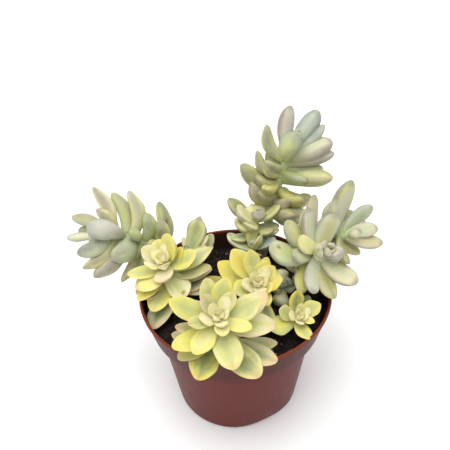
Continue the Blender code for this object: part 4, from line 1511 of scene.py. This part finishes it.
def add_fill_light(settings):
    """Add the square soft light beside the camera, which shines at the pot's rim."""
    light = bpy.data.lights.new("fill", "AREA")
    light.shape = "SQUARE"
    light.size = FILL_SIZE
    light.energy = settings.fill
    obj = add_object("fill", light)
    obj.location = FILL_LOCATION
    aim = Vector((0.0, 0.0, POT_HEIGHT * MM)) - FILL_LOCATION
    obj.rotation_euler = aim.to_track_quat("-Z", "Y").to_euler()


def studio_sky(settings):
    """Return a sky that lights more from overhead than from the sides, and is seen as white."""
    world = bpy.data.worlds.new("studio")
    world.use_nodes = True
    tree = world.node_tree
    direction = add_node(tree, "ShaderNodeTexCoord").outputs["Generated"]
    height = add_node(tree, "ShaderNodeSeparateXYZ", {0: direction}).outputs[2]
    light = ramp(tree, height, 0.0, 1.0, settings.horizon, settings.zenith)
    seen = add_node(tree, "ShaderNodeLightPath").outputs["Is Camera Ray"]
    strength = node_output(tree, "ShaderNodeMix", {0: seen, 2: light, 3: 1.0}, data_type="FLOAT")
    feed(tree, tree.nodes["Background"].inputs, {"Color": (1.0, 1.0, 1.0, 1.0), "Strength": strength})
    return world


def add_camera():
    """Add the camera that was fitted to the pot, and look through it."""
    back = Vector((0.0, -math.cos(CAMERA_ELEVATION), math.sin(CAMERA_ELEVATION)))
    upright = Vector((0.0, math.sin(CAMERA_ELEVATION), math.cos(CAMERA_ELEVATION)))
    right = Vector((1.0, 0.0, 0.0))
    rolled_right = right * math.cos(CAMERA_ROLL) + upright * math.sin(CAMERA_ROLL)
    rolled_up = upright * math.cos(CAMERA_ROLL) - right * math.sin(CAMERA_ROLL)
    data = bpy.data.cameras.new("camera")
    data.lens = CAMERA_LENS
    data.sensor_width = CAMERA_SENSOR
    data.clip_start = 0.01
    camera = add_object("camera", data)
    turn = Matrix((rolled_right, rolled_up, back)).transposed().to_4x4()
    camera.matrix_world = Matrix.Translation((CAMERA_AIM + back * CAMERA_DISTANCE) * MM) @ turn
    bpy.context.scene.camera = camera


def set_stage(settings):
    """Make the floor, the lights and the camera."""
    material, tree, shader = new_material("floor_paper")
    feed(tree, shader, {
        "Base Color": opaque(settings.floor), "Roughness": 0.9, "Specular IOR Level": 0.1})
    corners = [(x * FLOOR_REACH, y * FLOOR_REACH, FLOOR_LEVEL)
               for x, y in ((-1, -1), (1, -1), (1, 1), (-1, 1))]
    mesh_object("floor", corners, [(0, 1, 2, 3)], material)
    bpy.context.scene.view_settings.view_transform = "Standard"
    bpy.context.scene.world = studio_sky(settings)
    add_sun(settings)
    add_fill_light(settings)
    add_camera()


def shared_group(name, build):
    """Return a node group by name, building it the first time."""
    return bpy.data.node_groups.get(name) or build()


class SUCCULENT_OT_pot(Operator):
    """Build the nursery pot"""

    bl_idname = "succulent.pot"
    bl_label = "Build Pot"

    def execute(self, context):
        weathering = shared_group("Weathering", weathering_group)
        build_pot(pot_material(context.scene.succulent_pot, weathering))
        return {"FINISHED"}


class SUCCULENT_OT_soil(Operator):
    """Fill the pot with soil and scatter crumbs over it"""

    bl_idname = "succulent.soil"
    bl_label = "Fill With Soil"

    def execute(self, context):
        settings = context.scene.succulent_soil
        material = soil_material(settings, shared_group("Weathering", weathering_group))
        build_soil(material)
        scatter_crumbs(settings, material)
        return {"FINISHED"}


class SUCCULENT_OT_stems(Operator):
    """Grow the stems from the soil"""

    bl_idname = "succulent.stems"
    bl_label = "Grow Stems"

    def execute(self, context):
        settings = context.scene.succulent_stems
        tree = stem_tree(stem_material(settings, shared_group("Weathering", weathering_group)))
        for shoot in SHOOTS:
            build_stem(settings, shoot, tree)
        return {"FINISHED"}


class SUCCULENT_OT_leaves(Operator):
    """Grow the leaves on the stems"""

    bl_idname = "succulent.leaves"
    bl_label = "Grow Leaves"

    def execute(self, context):
        settings = context.scene.succulent_leaves
        pattern = shared_group("Leaf pattern", leaf_pattern_group)
        grow_leaves(settings, leaf_material(settings, pattern))
        return {"FINISHED"}


class SUCCULENT_OT_stage(Operator):
    """Set the floor, the lights and the camera"""

    bl_idname = "succulent.stage"
    bl_label = "Set Stage"

    def execute(self, context):
        set_stage(context.scene.succulent_stage)
        return {"FINISHED"}


# Each step, with the name and the class of its settings, in the order in which they run
STEPS = (
    (SUCCULENT_OT_pot, "succulent_pot", PotSettings),
    (SUCCULENT_OT_soil, "succulent_soil", SoilSettings),
    (SUCCULENT_OT_stems, "succulent_stems", StemSettings),
    (SUCCULENT_OT_leaves, "succulent_leaves", LeafSettings),
    (SUCCULENT_OT_stage, "succulent_stage", StageSettings),
)


class SUCCULENT_PT_build(Panel):
    """Settings and steps for building the plant"""

    bl_idname = "SUCCULENT_PT_build"
    bl_label = "Potted Succulent"
    bl_space_type = "VIEW_3D"
    bl_region_type = "UI"
    bl_category = "Succulent"

    def draw(self, context):
        for operator, name, group in STEPS:
            box = self.layout.box()
            for key in group.__annotations__:
                box.prop(getattr(context.scene, name), key)
            box.operator(operator.bl_idname)


def register():
    """Add the settings, the steps and the panel to Blender."""
    for operator, name, group in STEPS:
        bpy.utils.register_class(group)
        setattr(bpy.types.Scene, name, PointerProperty(type=group))
        bpy.utils.register_class(operator)
    bpy.utils.register_class(SUCCULENT_PT_build)


def unregister():
    """Take the settings, the steps and the panel out of Blender again."""
    bpy.utils.unregister_class(SUCCULENT_PT_build)
    for operator, name, group in reversed(STEPS):
        bpy.utils.unregister_class(operator)
        delattr(bpy.types.Scene, name)
        bpy.utils.unregister_class(group)


def main():
    """Build the plant."""
    register()
    bpy.ops.succulent.pot()
    bpy.ops.succulent.soil()
    bpy.ops.succulent.stems()
    bpy.ops.succulent.leaves()
    bpy.ops.succulent.stage()


if __name__ == "__main__":
    main()
